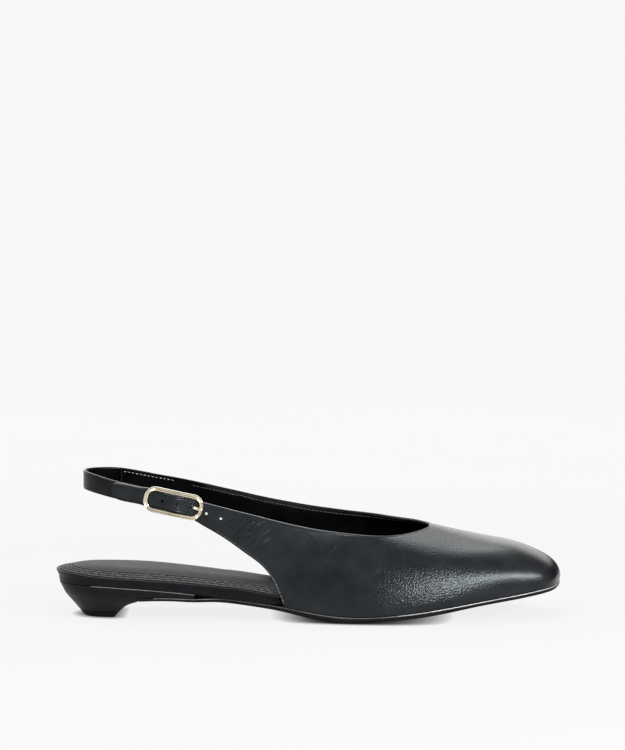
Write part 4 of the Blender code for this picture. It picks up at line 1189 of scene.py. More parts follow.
def make_upper(surface):
    maker = bmesh.new()
    columns, rows, _ = surface.base.shape
    outer = [maker.verts.new(point) for point in world_rows(surface.outer)]
    inner = [maker.verts.new(point) for point in world_rows(surface.inner)]
    for i in range(columns - 1):
        for j in range(rows - 1):
            a, b = i * rows + j, (i + 1) * rows + j
            outside, inside = upper_finish(surface, i, j)
            face(maker, (outer[a], outer[b], outer[b + 1], outer[a + 1]), outside)
            face(maker, (inner[a], inner[a + 1], inner[b + 1], inner[b]), inside)
        if UPPER.on_sole(surface.knots[i]) and UPPER.on_sole(surface.knots[i + 1]):
            a, b = i * rows, (i + 1) * rows
            face(maker, (outer[a], inner[a], inner[b], outer[b]))
    made = shown_object(maker, "upper_leather", UPPER_FINISHES, smooth_angle=70.0)
    cut_out(made, [hole_cutter(i) for i in range(len(HOLE_DROPS))])
    return made


def hole_cutter(index):
    """Cylinder through the outer strap at one of its punched holes."""
    lowest = -HOLE_CUT_DEPTH
    if index == DARK_HOLE:
        lowest = weave(HOLE_FIRST + HOLE_PITCH * index) - DARK_HOLE_DEPTH
    inside = hole_place(index, lowest)
    outside = hole_place(index, HOLE_CUT_DEPTH)
    made = bmesh.new()
    turn = (outside - inside).to_track_quat("Z", "Y").to_matrix().to_4x4()
    bmesh.ops.create_cone(
        made,
        cap_ends=True,
        segments=HOLE_SIDES,
        radius1=HOLE_RADII[index] * MM,
        radius2=HOLE_RADII[index] * MM,
        depth=(outside - inside).length,
        matrix=Matrix.Translation((inside + outside) / 2) @ turn,
    )
    return shown_object(made, f"hole_cutter_{index + 1}", ())


# Stitches


STITCH_RINGS = ((-1.0, 0.0), (-0.8, 0.75), (-0.3, 1.0), (0.3, 1.0), (0.8, 0.75), (1.0, 0.0))
STITCH_SIDES = 7
STITCH_END_WIDTH = 0.05


def add_stitch(maker, middle, heading, normal, thread):
    """One thread stitch lying on a surface, its points in shoe millimetres."""
    heading = heading / np.linalg.norm(heading)
    side = np.cross(normal, heading)
    side /= np.linalg.norm(side)
    rings = []
    for share, width in STITCH_RINGS:
        centre = middle + heading * share * thread.length / 2 - normal * thread.sink
        ring = []
        for k in range(STITCH_SIDES):
            angle = 2 * math.pi * k / STITCH_SIDES
            spread = side * math.cos(angle) + normal * math.sin(angle)
            ring.append(centre + spread * thread.radius * max(width, STITCH_END_WIDTH))
        rings.append([maker.verts.new(point) for point in world_rows(ring)])
    for ring, following in zip(rings, rings[1:]):
        for k in range(STITCH_SIDES):
            n = (k + 1) % STITCH_SIDES
            face(maker, (ring[k], ring[n], following[n], following[k]), thread.finish)
    face(maker, list(reversed(rings[0])), thread.finish)
    face(maker, rings[-1], thread.finish)


def row_at(at, lengths, rows):
    """Row of three numbers at a length between given rows."""
    return np.array([np.interp(at, lengths, rows[:, k]) for k in range(3)])


def sew(maker, points, normals, thread):
    """Row of stitches along a line of points with outward normals."""
    lengths = chord_lengths(points)
    for at in np.arange(thread.pitch / 2, lengths[-1], thread.pitch):
        ahead = row_at(at + SEW_STEP, lengths, points)
        behind = row_at(at - SEW_STEP, lengths, points)
        normal = row_at(at, lengths, normals)
        normal /= np.linalg.norm(normal)
        add_stitch(maker, row_at(at, lengths, points), ahead - behind, normal, thread)


def make_upper_stitches(surface):
    maker = bmesh.new()
    corner = UPPER.first_corner
    last = UPPER.last_corner
    # Thread with painted shade up the cut seams, plain next to the sole
    cuts = (
        (corner * OUTER_SEAM_SHARE, corner - PALE_SEAM, COLLAR_THREAD),
        (corner - PALE_SEAM, corner - SEAM_CLEAR, SEAM_THREAD),
        (last + SEAM_CLEAR, last + PALE_SEAM, SEAM_THREAD),
        (last + PALE_SEAM, last + INNER_SEAM_LENGTH, COLLAR_THREAD),
    )
    for low, high, thread in cuts:
        columns = surface.columns_between(low, high)
        sew(maker, *surface.row_line(SEAM_INSET, columns, from_foot=True), thread)
    collar = surface.columns_between(corner * COLLAR_SEAM_SHARE, UPPER.length - COLLAR_SEAM_STOP)
    sew(maker, *surface.row_line(COLLAR_SEAM_INSET, collar, inner_face=True), COLLAR_THREAD)
    lap = []
    for i, knot in enumerate(surface.knots):
        if knot > last and LAP_STITCH_FROM < surface.base[i, 0, 0] < LAP_STITCH_TO:
            lap.append(i)
    sew(maker, *surface.row_line(LAP_STITCH_INSET, lap, inner_face=True), LAP_THREAD)
    return shown_object(maker, "upper_stitches", ("thread", "thread_painted_highlight", "thread_painted_shade"))


# Sole, footbed: slabs between two heights


# Alongs at which the painted highlight along the sole's top edge steps paler, and its finishes
SOLE_HIGHLIGHT_STARTS = (50.0, 82.0, 172.0, 188.0)
SOLE_HIGHLIGHTS = ("faint_highlight", "dim_highlight", "grey_highlight", "pale_highlight")
# Levels of a slab's side; a level's line flag marks the strip that carries the painted highlight
SideLevel = namedtuple("SideLevel", "inset share line")
OUTSOLE_SIDE = table(
    SideLevel,
    (0.9, 0.0, False),
    (0.45, 0.08, False),
    (0.15, 0.3, False),
    (0.02, 0.55, False),
    (0.0, 0.72, False),
    (0.06, 0.78, True),
    (0.08, 0.94, False),
    (0.4, 1.0, False),
)
FOOTBED_SIDE = table(
    SideLevel,
    (1.75, 0.0, False),
    (1.5, 0.05, False),
    (1.4, 0.2, False),
    (1.25, 0.45, False),
    (0.8, 0.63, False),
    (0.28, 0.79, False),
    (0.05, 0.86, False),
    (0.0, 0.9, False),
    (0.08, 0.94, False),
    (0.3, 0.98, False),
    (0.6, 1.0, False),
)


def station_places(first_along):
    """Pairs of places on the outer and inner edge, closer together where the ends are round."""
    first_outer = EDGE.outer_place(first_along) if first_along else 0.0
    first_inner = EDGE.inner_place(first_along) if first_along else 2.0
    pairs = []
    for i in range(SOLE_STATIONS + 1):
        share = i / SOLE_STATIONS
        eased = share - SOLE_STATION_EASE * math.sin(2 * math.pi * share)
        outer = first_outer + (1.0 - first_outer) * eased
        inner = first_inner + (1.0 - first_inner) * eased
        pairs.append((outer, inner))
    return pairs


def slab_ring(outers, inners, shares):
    """Plan points of one ring with their share of the height and how much they hang: across the bottom, up
    the inner side, back across the top and down the outer side."""
    across = np.linspace(0.0, 1.0, SOLE_ACROSS + 1)[:-1]
    fullness = min(1.0, np.linalg.norm(inners[-1] - outers[-1]) / CROWN_FULL_WIDTH)
    ring = []
    for step in across:
        swell = fullness * (1 - abs(2 * step - 1) ** PILLOW_POWER)
        ring.append((outers[0] + (inners[0] - outers[0]) * step, shares[0], swell))
    ring += [(inner, share, 0.0) for inner, share in zip(inners[:-1], shares[:-1])]
    ring += [(inners[-1] + (outers[-1] - inners[-1]) * step, shares[-1], 0.0) for step in across]
    ring += [(outer, share, 0.0) for outer, share in reversed(list(zip(outers[1:], shares[1:])))]
    return ring


def slab_highlights(levels):
    """Whether the strip after each point of a slab's ring carries the painted highlight line."""
    rising = [level.line for level in levels[:-1]]
    return [False] * SOLE_ACROSS + rising + [False] * SOLE_ACROSS + list(reversed(rising))


def highlight_finish(along):
    """Finish of the sole's painted highlight line: none at the heel, faint in the waist, pale at the toe."""
    return sum(along > start for start in SOLE_HIGHLIGHT_STARTS)


def slab(first_along, inset, levels, under, over, belly=0.0):
    """Flat piece inside the shoe's edge, between two heights, with a shaped side. Its underside may hang a
    little, as far as the floor."""
    rings = []
    shares = [level.share for level in levels]
    for outer, inner in station_places(first_along):
        sides = []
        for place in (outer, inner):
            drawn_in = inset(EDGE.point(place, 0.0)[0])
            sides.append([EDGE.point(place, drawn_in + level.inset) for level in levels])
        ring = []
        for (along, across), share, swell in slab_ring(sides[0], sides[1], shares):
            low = max(0.0, under(along) - belly * swell)
            ring.append(world(along, across, low + (over(along) - low) * share))
        rings.append(ring)
    # Strips that carry the painted highlight line
    lines = slab_highlights(levels)

    def finish_of(k, i):
        return highlight_finish(rings[k][i].x / MM + LENGTH / 2) if lines[i] else 0

    return loft(rings, first_along > 0, cap_last=False, finish_of=finish_of)


def make_outsole():
    made = slab(OUTSOLE_BACK, sole_inset, OUTSOLE_SIDE, tread, sole_top, SOLE_BELLY)
    return shown_object(made, "outsole_rubber", ("sole", *SOLE_HIGHLIGHTS), smooth_angle=45.0)


def make_footbed():
    made = slab(0.0, board_inset, FOOTBED_SIDE, board_under, board_top)
    return shown_object(made, "footbed_leather", ("footbed",), smooth_angle=50.0)


# Insole: rings drawn in from its edge, with sewn channels, filled across the middle


def insole_ring(inset, height):
    """Ring of plan points with their heights, at an inset from the footbed's edge."""
    ring = []
    for place in np.linspace(0.0, 2.0, INSOLE_PLACES, endpoint=False):
        edge_along = EDGE.point(place, 0.0)[0]
        along, across = EDGE.point(place, board_inset(edge_along) + inset)
        ring.append((along, across, height(along)))
    return np.array(ring)


def insole_swell(distance):
    """Rise of the padded top over its edge, less the channels that the stitches pull in."""
    share = np.clip(distance / INSOLE_PILLOW, 0.0, 1.0)
    whole = INSOLE_THICKNESS + INSOLE_CROWN - INSOLE_EDGE
    rise = whole * (1 - (1 - share) ** 2) ** INSOLE_PILLOW_POWER
    for seam in INSOLE_SEAMS:
        rise = rise - INSOLE_SEAM_DEPTH * bell(distance - seam, INSOLE_SEAM_WIDTH)
    return rise


def arch_rise(along, across, distance):
    """Extra rise of the padded top towards the inner side, under the arch."""
    inner_share = np.clip((across + HEEL_HALF_WIDTH) / (2 * HEEL_HALF_WIDTH), 0.0, 1.0)
    return arch_curve(along) * inner_share * smooth_step(0.0, ARCH_RISE_WIDTH, distance)


def insole_top_ring(distance):
    ring = insole_ring(INSOLE_EDGE_INSET + distance, insole_edge_top)
    ring[:, 2] += insole_swell(distance)
    ring[:, 2] += [arch_rise(along, across, distance) for along, across, _ in ring]
    return ring


def make_insole():
    rings = [
        insole_ring(INSOLE_EDGE_INSET - INSOLE_FOOT_SPREAD, insole_under),
        insole_ring(INSOLE_EDGE_INSET - INSOLE_SIDE_SPREAD, insole_side),
    ]
    rings += [insole_top_ring(INSOLE_RING_STEP * i) for i in range(INSOLE_RINGS)]
    plain_rings = len(rings) - INSOLE_RINGS

    # Faces within reach of a seam get the darker channel finish, painted shade in the channels
    def finish_of(k, i):
        distance = INSOLE_RING_STEP * (k - plain_rings + 0.5)
        return 1 if min(abs(distance - seam) for seam in INSOLE_SEAMS) < INSOLE_CHANNEL_SHADE else 0

    world_rings = [[Vector(point) for point in world_rows(ring)] for ring in rings]
    maker = loft(world_rings, cap_last=False, finish_of=finish_of)
    last = rings[-1]
    outline = rings[plain_rings][:, :2]
    half = INSOLE_PLACES // 2
    rungs = []
    for i in range(half + 1):
        start = last[i]
        end = last[-i % INSOLE_PLACES]
        rung = start + (end - start) * np.linspace(0.0, 1.0, INSOLE_FILL + 1)[:, None]
        for point in rung[1:-1]:
            distance = np.min(np.linalg.norm(outline - point[:2], axis=1))
            point[2] = insole_edge_top(point[0]) + insole_swell(distance)
            point[2] += arch_rise(point[0], point[1], distance)
        rungs.append([maker.verts.new(point) for point in world_rows(rung)])
    for rung, following in zip(rungs, rungs[1:]):
        for k in range(INSOLE_FILL):
            face(maker, (rung[k], following[k], following[k + 1], rung[k + 1]))
    return shown_object(outwards(maker), "insole_padding", ("insole", "insole_channel_shade"), smooth_angle=60.0)


def make_insole_stitches():
    maker = bmesh.new()
    for seam in INSOLE_SEAMS:
        ring = insole_top_ring(seam)
        first = int(np.argmin(ring[:, 0] < INSOLE_STITCHED_TO))
        turned = np.roll(ring, -first - 1, axis=0)
        kept = turned[turned[:, 0] < INSOLE_STITCHED_TO]
        sew(maker, kept, np.tile([0.0, 0.0, 1.0], (len(kept), 1)), INSOLE_THREAD)
    return shown_object(maker, "insole_stitches", ("insole_thread",))


# Heel and its top piece


# Painted highlight along the seam under the footbed and on the wedge: its width, its clearance above the
# sole, the wedge's strips that carry it, and where it begins, as the back of the seam lies in shade
HEEL_HIGHLIGHT = 0.35
HEEL_HIGHLIGHT_ABOVE = 0.05
WEDGE_HIGHLIGHT_STRIPS = (2, 4)
HEEL_HIGHLIGHT_FROM = 19.0


def heel_places():
    """Places on the shoe's edge round the heel, from the block's front on the outer side to the inner."""
    outer = np.linspace(EDGE.outer_place(HEEL_BLOCK_FRONT), 0.0, HEEL_SIDE_STEPS + 1)
    inner = np.linspace(2.0, EDGE.inner_place(HEEL_BLOCK_FRONT), HEEL_SIDE_STEPS + 1)
    return np.concatenate([outer, inner[1:]])


def heel_ring(level):
    """Plan of one level: the seat's own rounded outline drawn in to the level's back, breast and side."""
    ring = []
    length = level.breast - level.back
    for place in heel_places():
        along, across = EDGE.point(place, 0.0)
        if along < HEEL_ROUND:
            share = HEEL_ROUND_SHARE * max(along, 0.0) / HEEL_ROUND
        else:
            straight = (along - HEEL_ROUND) / (HEEL_BLOCK_FRONT - HEEL_ROUND)
            share = HEEL_ROUND_SHARE + (1 - HEEL_ROUND_SHARE) * straight
        ring.append((level.back + share * length, across * level.half_width / HEEL_HALF_WIDTH, level.up))
    return ring


def seat_ring(inset, drop):
    """Top of the heel, just under the footbed and a little inside it."""
    ring = []
    for place in heel_places():
        along, across = EDGE.point(place, inset)
        along = min(along, HEEL_BLOCK_FRONT)
        ring.append((along, across, board_under(along) - GAP - drop))
    return ring


def finer_levels(levels):
    """Levels of the heel block with more of them between, along a smooth line."""
    knots = [-level.up for level in levels]
    curve = spline(knots, levels)
    finer = []
    for high, low in zip(knots, knots[1:]):
        for step in range(HEEL_LEVEL_STEPS):
            finer.append(HeelLevel(*curve(high + (low - high) * step / HEEL_LEVEL_STEPS)))
    return finer + [levels[-1]]


def ringed_solid(rings, highlight_ring=None):
    """Closed solid through heel rings, its two ends bridged from side to side."""
    made = bmesh.new()
    corners = [[made.verts.new(world(*point)) for point in ring] for ring in rings]
    for k, (ring, following) in enumerate(zip(corners, corners[1:])):
        for i in range(len(ring)):
            j = (i + 1) % len(ring)
            # Painted highlight on the seam's strip, left off at the back where the seam lies in shade
            pale = int(k == highlight_ring and j > 0 and rings[k][i][0] > HEEL_HIGHLIGHT_FROM)
            face(made, (ring[i], ring[j], following[j], following[i]), pale)
    for ring in (corners[0], corners[-1]):
        last = len(ring) - 1
        for i in range(len(ring) // 2):
            face(made, (ring[i], ring[i + 1], ring[last - i - 1], ring[last - i]))
    return outwards(made)


def heel_wedge():
    """Thin wedge between the footbed and the sole, rooted in the heel block."""
    rings = []
    for along in np.linspace(WEDGE_ROOT, WEDGE_TIP, WEDGE_STEPS):
        share = (along - WEDGE_ROOT) / (WEDGE_TIP - WEDGE_ROOT)
        low_inset = WEDGE_LOW_INSET_ROOT + (WEDGE_LOW_INSET_TIP - WEDGE_LOW_INSET_ROOT) * share
        outer = EDGE.outer_place(along)
        inner = EDGE.inner_place(along)
        high = board_under(along) - GAP
        low = sole_top(max(along, OUTSOLE_BACK)) + GAP
        # Lower edge of the painted highlight strip along the wedge's top
        line = max(high - HEEL_HIGHLIGHT, low + HEEL_HIGHLIGHT_ABOVE)
        ring = [
            world(along, EDGE.point(outer, low_inset)[1], low),
            world(along, EDGE.point(inner, low_inset)[1], low),
            world(along, EDGE.point(inner, WEDGE_TOP_INSET)[1], line),
            world(along, EDGE.point(inner, WEDGE_TOP_INSET)[1], high),
            world(along, EDGE.point(outer, WEDGE_TOP_INSET)[1], high),
            world(along, EDGE.point(outer, WEDGE_TOP_INSET)[1], line),
        ]
        rings.append(ring)
    return loft(rings, finish_of=lambda k, i: int(i in WEDGE_HIGHLIGHT_STRIPS))


def make_heel():
    rings = [seat_ring(HEEL_SEAT_INSET, 0.0), seat_ring(HEEL_SEAT_INSET, HEEL_HIGHLIGHT)]
    rings += [heel_ring(level) for level in finer_levels(HEEL_LEVELS)]
    makers = [ringed_solid(rings, 0), heel_wedge()]
    return shown_object(joined(makers), "heel_cover", ("heel", "faint_highlight"), smooth_angle=40.0)


def make_heel_tip():
    rings = [heel_ring(level) for level in HEEL_TIP_LEVELS]
    return shown_object(ringed_solid(rings), "heel_tip_rubber", ("tip",), smooth_angle=40.0)


# Heel strap


BAND_CORNER = 0.16
BAND_CORNER_STEPS = 4
# Strips of the band's top edge that carry a painted highlight
SLING_HIGHLIGHT_STRIPS = (3, 4, 5)
SLING_INNER_STRIP = 9


def band_section():
    """Rounded section of the strap: shares of its half thickness and half width."""
    section = []
    for quarter, rise in enumerate((1, 1, -1, -1)):
        for i in range(BAND_CORNER_STEPS + 1):
            angle = math.radians(90.0 * (quarter + i / BAND_CORNER_STEPS))
            section.append((math.cos(angle), rise * (1 - BAND_CORNER) + BAND_CORNER * math.sin(angle)))
    return section


def sling_sections():
    """Rows of the band: plan point of its middle, its unit normal, the height of its middle and its half
    width, a little more at the back."""
    inner_last = [a for a in LOOP_ANGLES if loop_point(a, 0.0)[0] < SLING_LAP_END][-1]
    outer_last = [a for a in LOOP_ANGLES if loop_point(-a, 0.0)[0] < BUCKLE_CENTRE - SLING_FOLD_START][-1]
    rows = []
    for angle in np.linspace(inner_last, -outer_last, SLING_STEPS):
        plan = loop_point(angle, 0.0)
        normal = loop_point(angle, 1.0) - plan
        turned = max(-1.0, min(1.0, angle / outer_last))
        inner_share = 0.5 + 0.5 * math.sin(turned * math.pi / 2)
        outer = outer_strap_curve(plan[0])
        inner = inner_strap_curve(plan[0])
        half = SLING_WIDTH / 2 / math.cos(STRAP_SLOPE) * (1 + SLING_BACK_SPREAD * math.cos(angle) ** 2)
        rows.append((plan, normal, outer + (inner - outer) * inner_share, half))
    return rows


def fold_rows():
    """Rows of the folded end, from behind the bar, round it and back over it."""
    rows = list(FOLD_BEFORE)
    for angle in np.linspace(-math.pi / 2, math.pi / 2, FOLD_STEPS + 1):
        out = -BAR_DEPTH + FOLD_RADIUS * math.sin(angle)
        rows.append(FoldRow(-FOLD_RADIUS * math.cos(angle), out, SLING_SKIVED))
    return rows + list(FOLD_AFTER)


def sling_finish(k, i):
    """The band's top edge carries a painted highlight, its inner face is lined."""
    if i == SLING_INNER_STRIP:
        return 2
    return 1 if i in SLING_HIGHLIGHT_STRIPS else 0


def make_sling():
    rings = []
    section = band_section()
    for plan, normal, middle, half in sling_sections():
        ring = []
        for out, rise in section:
            ring.append(world(*(plan + normal * out * SLING_THICKNESS / 2), middle + half * rise))
        rings.append(ring)
    rows = fold_rows()
    for i, row in enumerate(rows):
        before = rows[max(i - 1, 0)]
        after = rows[min(i + 1, len(rows) - 1)]
        heading = math.atan2(after.out - before.out, before.behind - after.behind)
        ahead = math.sin(heading) * row.thickness / 2
        out = math.cos(heading) * row.thickness / 2
        middle = BUCKLE_CENTRE - row.behind
        ring = []
        for side, rise in section:
            ring.append(strap_point(middle - ahead * side, SLING_WIDTH / 2 * rise, row.out + out * side))
        rings.append(ring)
    finishes = ("strap", "edge_highlight", "lining")
    made = shown_object(loft(rings, finish_of=sling_finish), "sling_leather", finishes, smooth_angle=50.0)
    cut_out(made, [slot_cutter()])
    return made


def slot_cutter():
    """Box that opens the fold for the prong's eye."""
    corners = (
        (-SLOT_HALF_WIDTH, SLOT_INSIDE),
        (SLOT_HALF_WIDTH, SLOT_INSIDE),
        (SLOT_HALF_WIDTH, SLOT_OUTSIDE),
        (-SLOT_HALF_WIDTH, SLOT_OUTSIDE),
    )
    rings = []
    for along in (BUCKLE_CENTRE - SLOT_BEHIND, BUCKLE_CENTRE + SLOT_AHEAD):
        rings.append([strap_point(along, width, out) for width, out in corners])
    return shown_object(loft(rings), "slot_cutter", ())


# Buckle


# Section of the frame, two rounded ridges with a groove between: shares of the wire's radius, across the wire
# and outwards
FRAME_SECTION = (
    (-1.2, -0.5),
    (-1.2, 0.2),
    (-1.1, 0.5),
    (-0.85, 0.72),
    (-0.58, 0.74),
    (-0.34, 0.6),
    (-0.14, 0.42),
    (0.0, 0.38),
    (0.12, 0.5),
    (0.3, 0.8),
    (0.55, 0.97),
    (0.82, 0.94),
    (1.08, 0.7),
    (1.2, 0.3),
    (1.2, -0.5),
    (0.75, -0.9),
    (-0.75, -0.9),
)


def frame_path():
    """Rounded rectangle of the frame: places along the strap and above its middle, and the way outwards."""
    half_length = BUCKLE_LENGTH / 2 - BUCKLE_WIRE
    half_width = BUCKLE_WIDTH / 2 - BUCKLE_WIRE
    straight_along = half_length - BUCKLE_CORNER
    straight_width = half_width - BUCKLE_CORNER
    centres = (
        (straight_along, straight_width, 0.0),
        (-straight_along, straight_width, 90.0),
        (-straight_along, -straight_width, 180.0),
        (straight_along, -straight_width, 270.0),
    )
    path = []
    for (along, width, first), following in zip(centres, centres[1:] + centres[:1]):
        for i in range(FRAME_CORNER_STEPS + 1):
            angle = math.radians(first + 90.0 * i / FRAME_CORNER_STEPS)
            aside = (math.cos(angle), math.sin(angle))
            path.append((along + BUCKLE_CORNER * aside[0], width + BUCKLE_CORNER * aside[1], *aside))
        angle = math.radians(first + 90.0)
        aside = (math.cos(angle), math.sin(angle))
        for i in range(1, FRAME_SIDE_STEPS):
            share = i / FRAME_SIDE_STEPS
            at = along + (following[0] - along) * share
            up = width + (following[1] - width) * share
            path.append((at + BUCKLE_CORNER * aside[0], up + BUCKLE_CORNER * aside[1], *aside))
    return path


def make_buckle():
    rings = []
    for along, width, aside_along, aside_width in frame_path():
        ring = []
        for across, out in FRAME_SECTION:
            moved = across * BUCKLE_WIRE
            height = BUCKLE_STANDOFF + out * BUCKLE_WIRE
            ring.append(on_strap(along + aside_along * moved, width + aside_width * moved, height))
        rings.append(ring)
    rings.append(rings[0])
    frame_mesh = loft(rings, cap_first=False, cap_last=False)
    rail = BUCKLE_WIDTH / 2 - BUCKLE_WIRE
    staple = [
        on_strap(0.0, rail, BUCKLE_STANDOFF),
        on_strap(0.0, rail, -BAR_DEPTH),
        on_strap(0.0, -rail, -BAR_DEPTH),
        on_strap(0.0, -rail, BUCKLE_STANDOFF),
    ]
    makers = [frame_mesh, wire_mesh(staple, BAR_RADIUS)]
    return shown_object(joined(makers), "buckle_frame_metal", ("gold",), smooth_angle=30.0)


def make_prong():
    eye = BAR_RADIUS + GAP + PRONG_RADIUS
    hole = HOLE_FIRST + HOLE_PITCH * PRONG_HOLE
    end_bar = BUCKLE_CENTRE + BUCKLE_LENGTH / 2 - BUCKLE_WIRE
    ring = []
    for i in range(PRONG_EYE_STEPS):
        angle = 2 * math.pi * i / PRONG_EYE_STEPS
        along = BUCKLE_CENTRE + eye * math.cos(angle)
        ring.append(strap_point(along, 0.0, -BAR_DEPTH + eye * math.sin(angle)))
    rest_height = BUCKLE_STANDOFF + BUCKLE_WIRE + GAP + PRONG_RADIUS
    shaft = [(BUCKLE_CENTRE + eye, -BAR_DEPTH)]
    shaft += [(hole + row.ahead, row.out) for row in PRONG_ROWS]
    shaft.append((end_bar + PRONG_OVERHANG, rest_height))
    makers = [prong_bar(shaft), wire_mesh(ring, PRONG_RADIUS, closed=True)]
    return shown_object(joined(makers), "buckle_prong_metal", ("gold",), smooth_angle=40.0)


def prong_bar(shaft):
    """Flat bar with rounded sides through places along the strap and out from it."""
    places = np.array(shaft)
    curve = spline(chord_lengths(places), places)
    whole = chord_lengths(places)[-1]
    rings = []
    for at in np.linspace(0.0, whole, PRONG_STEPS):
        along, out = curve(at)
        ahead = min(at + PRONG_HEADING_STEP, whole)
        behind = max(at - PRONG_HEADING_STEP, 0.0)
        heading = curve(ahead) - curve(behind)
        turn = math.atan2(heading[1], heading[0])
        ring = []
        for k in range(PRONG_SIDES):
            angle = 2 * math.pi * k / PRONG_SIDES
            thick = PRONG_RADIUS * math.sin(angle)
            width = PRONG_HALF_WIDTH * math.cos(angle)
            ring.append(strap_point(along - math.sin(turn) * thick, width, out + math.cos(turn) * thick))
        rings.append(ring)
    return loft(rings)


# Stage: floor, light and camera


FLOOR_SIZE = 60.0
FLOOR_BELOW = 0.00005
FLOOR_DARK = (0.05, 0.05, 0.05)
FLOOR_PALE = (0.053, 0.053, 0.053)
FLOOR_GRAIN = 400.0
FLOOR_ROUGHNESS = 0.9
FLOOR_REACH = 4.0
# Reach of the painted contact shadow that darkens the floor's glow
CONTACT_SHADOW_REACH = 0.005

# Glow of the floor by the distance from the shoe in metres, which keeps it as pale as the background where
# the lamps' light falls off
FloorGlow = namedtuple("FloorGlow", "distance glow")
FLOOR_GLOWS = table(
    FloorGlow,
    (0.3, 0.832),
    (0.6, 0.858),
    (1.1, 0.878),
    (1.65, 0.896),
    (2.4, 0.910),
    (FLOOR_REACH, 0.915),
)
BACKGROUND = (0.939, 0.939, 0.939)
CAMERA_DISTANCE = 1.4
CAMERA_ELEVATION = math.radians(7.5)
CAMERA_AIM_UP = 0.036
CAMERA_SCALE = 1965.0
CAMERA_CENTRE = (309.4, 542.4)
SENSOR = 36.0

# Brightness of the room round the shoe: the dim side towards the viewer, the white wall behind the heel, and
# where one turns into the other as a share of the heading straight to the wall
ROOM_FRONT = 0.38
ROOM_BACK = 2.2
WALL_HEADING = (-0.30, 0.954, 0.0)
WALL_FROM = 0.48
WALL_TO = 0.86


def floor_material():
    """Dull dark material that is pale by its own glow, with a painted contact shadow: the glow is darkened
    right beside what stands on it.
    """
    material = bpy.data.materials.new("floor")
    nodes, links = nodes_of(material)
    shader = nodes["Principled BSDF"]
    place = nodes.new("ShaderNodeTexCoord").outputs["Object"]
    mottle = noise_node(material, place, FLOOR_GRAIN)
    links.new(ramp_node(material, mottle, FLOOR_DARK, FLOOR_PALE), shader.inputs["Base Color"])
    shader.inputs["Roughness"].default_value = FLOOR_ROUGHNESS
    shader.inputs["Specular IOR Level"].default_value = 0.0
    distance = nodes.new("ShaderNodeVectorMath")
    distance.operation = "LENGTH"
    links.new(place, distance.inputs[0])
    share = range_node(material, distance.outputs["Value"], 0.0, 1.0, 0.0, FLOOR_REACH)
    glow = stops_node(material, share, [(row.distance / FLOOR_REACH, row.glow) for row in FLOOR_GLOWS])
    # Painted contact shadow: occlusion close by darkens the glow
    painted_contact_shadow = nodes.new("ShaderNodeAmbientOcclusion")
    painted_contact_shadow.inputs["Distance"].default_value = CONTACT_SHADOW_REACH
    links.new(glow, painted_contact_shadow.inputs["Color"])
    links.new(painted_contact_shadow.outputs["Color"], shader.inputs["Emission Color"])
    shader.inputs["Emission Strength"].default_value = 1.0
    return material


def stage_face(name, corners, material):
    """Flat thing of the studio, no part of the shoe."""
    mesh = bpy.data.meshes.new(name)
    mesh.from_pydata(corners, [], [tuple(range(len(corners)))])
    mesh.materials.append(material)
    made = bpy.data.objects.new(name, mesh)
    bpy.context.scene.collection.objects.link(made)
    return made


def make_floor():
    half = FLOOR_SIZE / 2
    corners = [(-half, -half, -FLOOR_BELOW), (half, -half, -FLOOR_BELOW), (half, half, -FLOOR_BELOW)]
    corners.append((-half, half, -FLOOR_BELOW))
    floor = stage_face("floor", corners, floor_material())


# Dark board beyond the toe, hidden from the camera and seen only in reflections, which keeps the toe's end
# from mirroring the white wall
FLAG_ALONG = 0.32
FLAG_NEAR = 0.0
FLAG_FAR = 1.3
FLAG_TOP = 0.13


def make_flag():
    corners = [(FLAG_ALONG, FLAG_NEAR, 0.0), (FLAG_ALONG, FLAG_FAR, 0.0)]
    corners += [(FLAG_ALONG, FLAG_FAR, FLAG_TOP), (FLAG_ALONG, FLAG_NEAR, FLAG_TOP)]
    flag = stage_face("flag", corners, made_finish("lining"))
    flag.visible_camera = False
    flag.visible_diffuse = False
    flag.visible_shadow = False


def make_world():
    """Pale plain background, and a room that is bright behind the shoe and dim in front of it."""
    sky = bpy.data.worlds.new("studio")
    sky.use_nodes = True
    nodes = sky.node_tree.nodes
    links = sky.node_tree.links
    plain = nodes["Background"]
    plain.inputs["Color"].default_value = (*BACKGROUND, 1.0)
    room = nodes.new("ShaderNodeBackground")
    heading = nodes.new("ShaderNodeTexCoord")
    backwards = nodes.new("ShaderNodeVectorMath")
    backwards.operation = "DOT_PRODUCT"
    backwards.inputs[1].default_value = WALL_HEADING
    links.new(heading.outputs["Generated"], backwards.inputs[0])
    wall = nodes.new("ShaderNodeMapRange")
    wall.interpolation_type = "SMOOTHSTEP"
    wall.inputs["From Min"].default_value = WALL_FROM
    wall.inputs["From Max"].default_value = WALL_TO
    wall.inputs["To Min"].default_value = ROOM_FRONT
    wall.inputs["To Max"].default_value = ROOM_BACK
    links.new(backwards.outputs["Value"], wall.inputs["Value"])
    links.new(wall.outputs["Result"], room.inputs["Strength"])
    seen = nodes.new("ShaderNodeLightPath")
    mixed = nodes.new("ShaderNodeMixShader")
    links.new(seen.outputs["Is Camera Ray"], mixed.inputs["Fac"])
    links.new(room.outputs["Background"], mixed.inputs[1])
    links.new(plain.outputs["Background"], mixed.inputs[2])
    links.new(mixed.outputs["Shader"], nodes["World Output"].inputs["Surface"])
    bpy.context.scene.world = sky


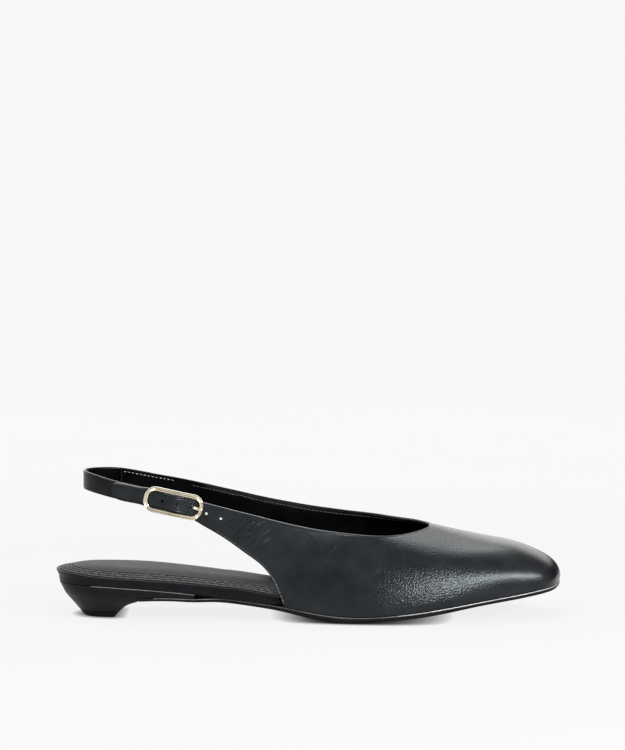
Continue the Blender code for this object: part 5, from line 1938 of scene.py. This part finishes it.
# Lamps by where they stand as seen from the shoe: 0 degrees is the viewer's side, 90 the toe's. The roll
# lifts the end of the lamp that is nearer the toe.
Lamp = namedtuple("Lamp", "name azimuth elevation roll distance width height power")
LAMPS = table(
    Lamp,
    ("overhead_short", 188.0, 58.5, 0.0, 1.6, 1.3, 0.77, 4.5),
    ("overhead_middle", 188.0, 63.5, 0.0, 1.6, 1.5, 1.07, 7.1),
    ("overhead_long", 188.0, 68.5, 0.0, 1.6, 1.7, 1.39, 10.5),
    ("side_box", 27.5, 21.0, 34.0, 1.4, 0.97, 0.10, 22.0),
    ("toe_box", 60.0, 26.0, -41.0, 1.4, 0.62, 0.10, 12.5),
    ("heel_box", -48.0, 42.0, 0.0, 1.4, 0.7, 0.5, 12.0),
)
LAMP_AIM = (0.03, 0.0, 0.02)


def make_lamps():
    for lamp in LAMPS:
        azimuth = math.radians(lamp.azimuth)
        elevation = math.radians(lamp.elevation)
        flat = math.cos(elevation)
        heading = Vector((math.sin(azimuth) * flat, -math.cos(azimuth) * flat, math.sin(elevation)))
        data = bpy.data.lights.new(lamp.name, "AREA")
        data.shape = "RECTANGLE"
        data.size = lamp.width
        data.size_y = lamp.height
        data.energy = lamp.power
        made = bpy.data.objects.new(lamp.name, data)
        made.location = Vector(LAMP_AIM) + heading * lamp.distance
        made.rotation_mode = "QUATERNION"
        level = (-heading).to_track_quat("-Z", "Y")
        made.rotation_quaternion = level @ Quaternion((0, 0, 1), math.radians(lamp.roll))
        made.visible_camera = False
        bpy.context.scene.collection.objects.link(made)


def make_camera():
    """The photo's camera: low, on the outer side, turned so that the shoe stands low in the picture."""
    back = Vector((0.0, -math.cos(CAMERA_ELEVATION), math.sin(CAMERA_ELEVATION)))
    aim = Vector((0.0, 0.0, CAMERA_AIM_UP))
    focal = CAMERA_SCALE * CAMERA_DISTANCE
    data = bpy.data.cameras.new("camera")
    data.sensor_width = SENSOR
    data.lens = focal / PICTURE_HEIGHT * SENSOR
    camera = bpy.data.objects.new("camera", data)
    camera.location = aim + back * CAMERA_DISTANCE
    pitch = math.atan2(CAMERA_CENTRE[1] - PICTURE_HEIGHT / 2, focal)
    yaw = math.atan2(CAMERA_CENTRE[0] - PICTURE_WIDTH / 2, focal)
    camera.rotation_mode = "QUATERNION"
    straight = (-back).to_track_quat("-Z", "Y")
    camera.rotation_quaternion = straight @ Quaternion((1, 0, 0), pitch) @ Quaternion((0, 1, 0), yaw)
    bpy.context.scene.collection.objects.link(camera)
    bpy.context.scene.camera = camera


def place_piece(piece, slot, *nodes):
    """Attaches a shown piece to the root and hides the CAD nodes that it stands for. The slot is not used."""
    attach(piece, "root")
    if nodes:
        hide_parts(*nodes)


def main():
    surface = UpperSurface()
    insole = make_insole()
    place_piece(make_upper(surface), "leather_black", "upper")
    place_piece(make_upper_stitches(surface), "leather_black")
    place_piece(make_sling(), "strap_black", "sling_strap")
    place_piece(make_footbed(), "footbed_black", "footbed")
    place_piece(insole, "insole_black", "insole")
    place_piece(make_insole_stitches(), "insole_black")
    place_piece(make_heel(), "heel_black", "heel")
    place_piece(make_heel_tip(), "tip_black", "heel_tip")
    place_piece(make_outsole(), "sole_black", "outsole")
    place_piece(make_buckle(), "pale_gold", "buckle_frame")
    place_piece(make_prong(), "pale_gold", "buckle_prong")
    make_floor()
    make_flag()
    make_world()
    make_lamps()
    make_camera()
    bpy.context.scene.view_settings.view_transform = "Standard"


main()
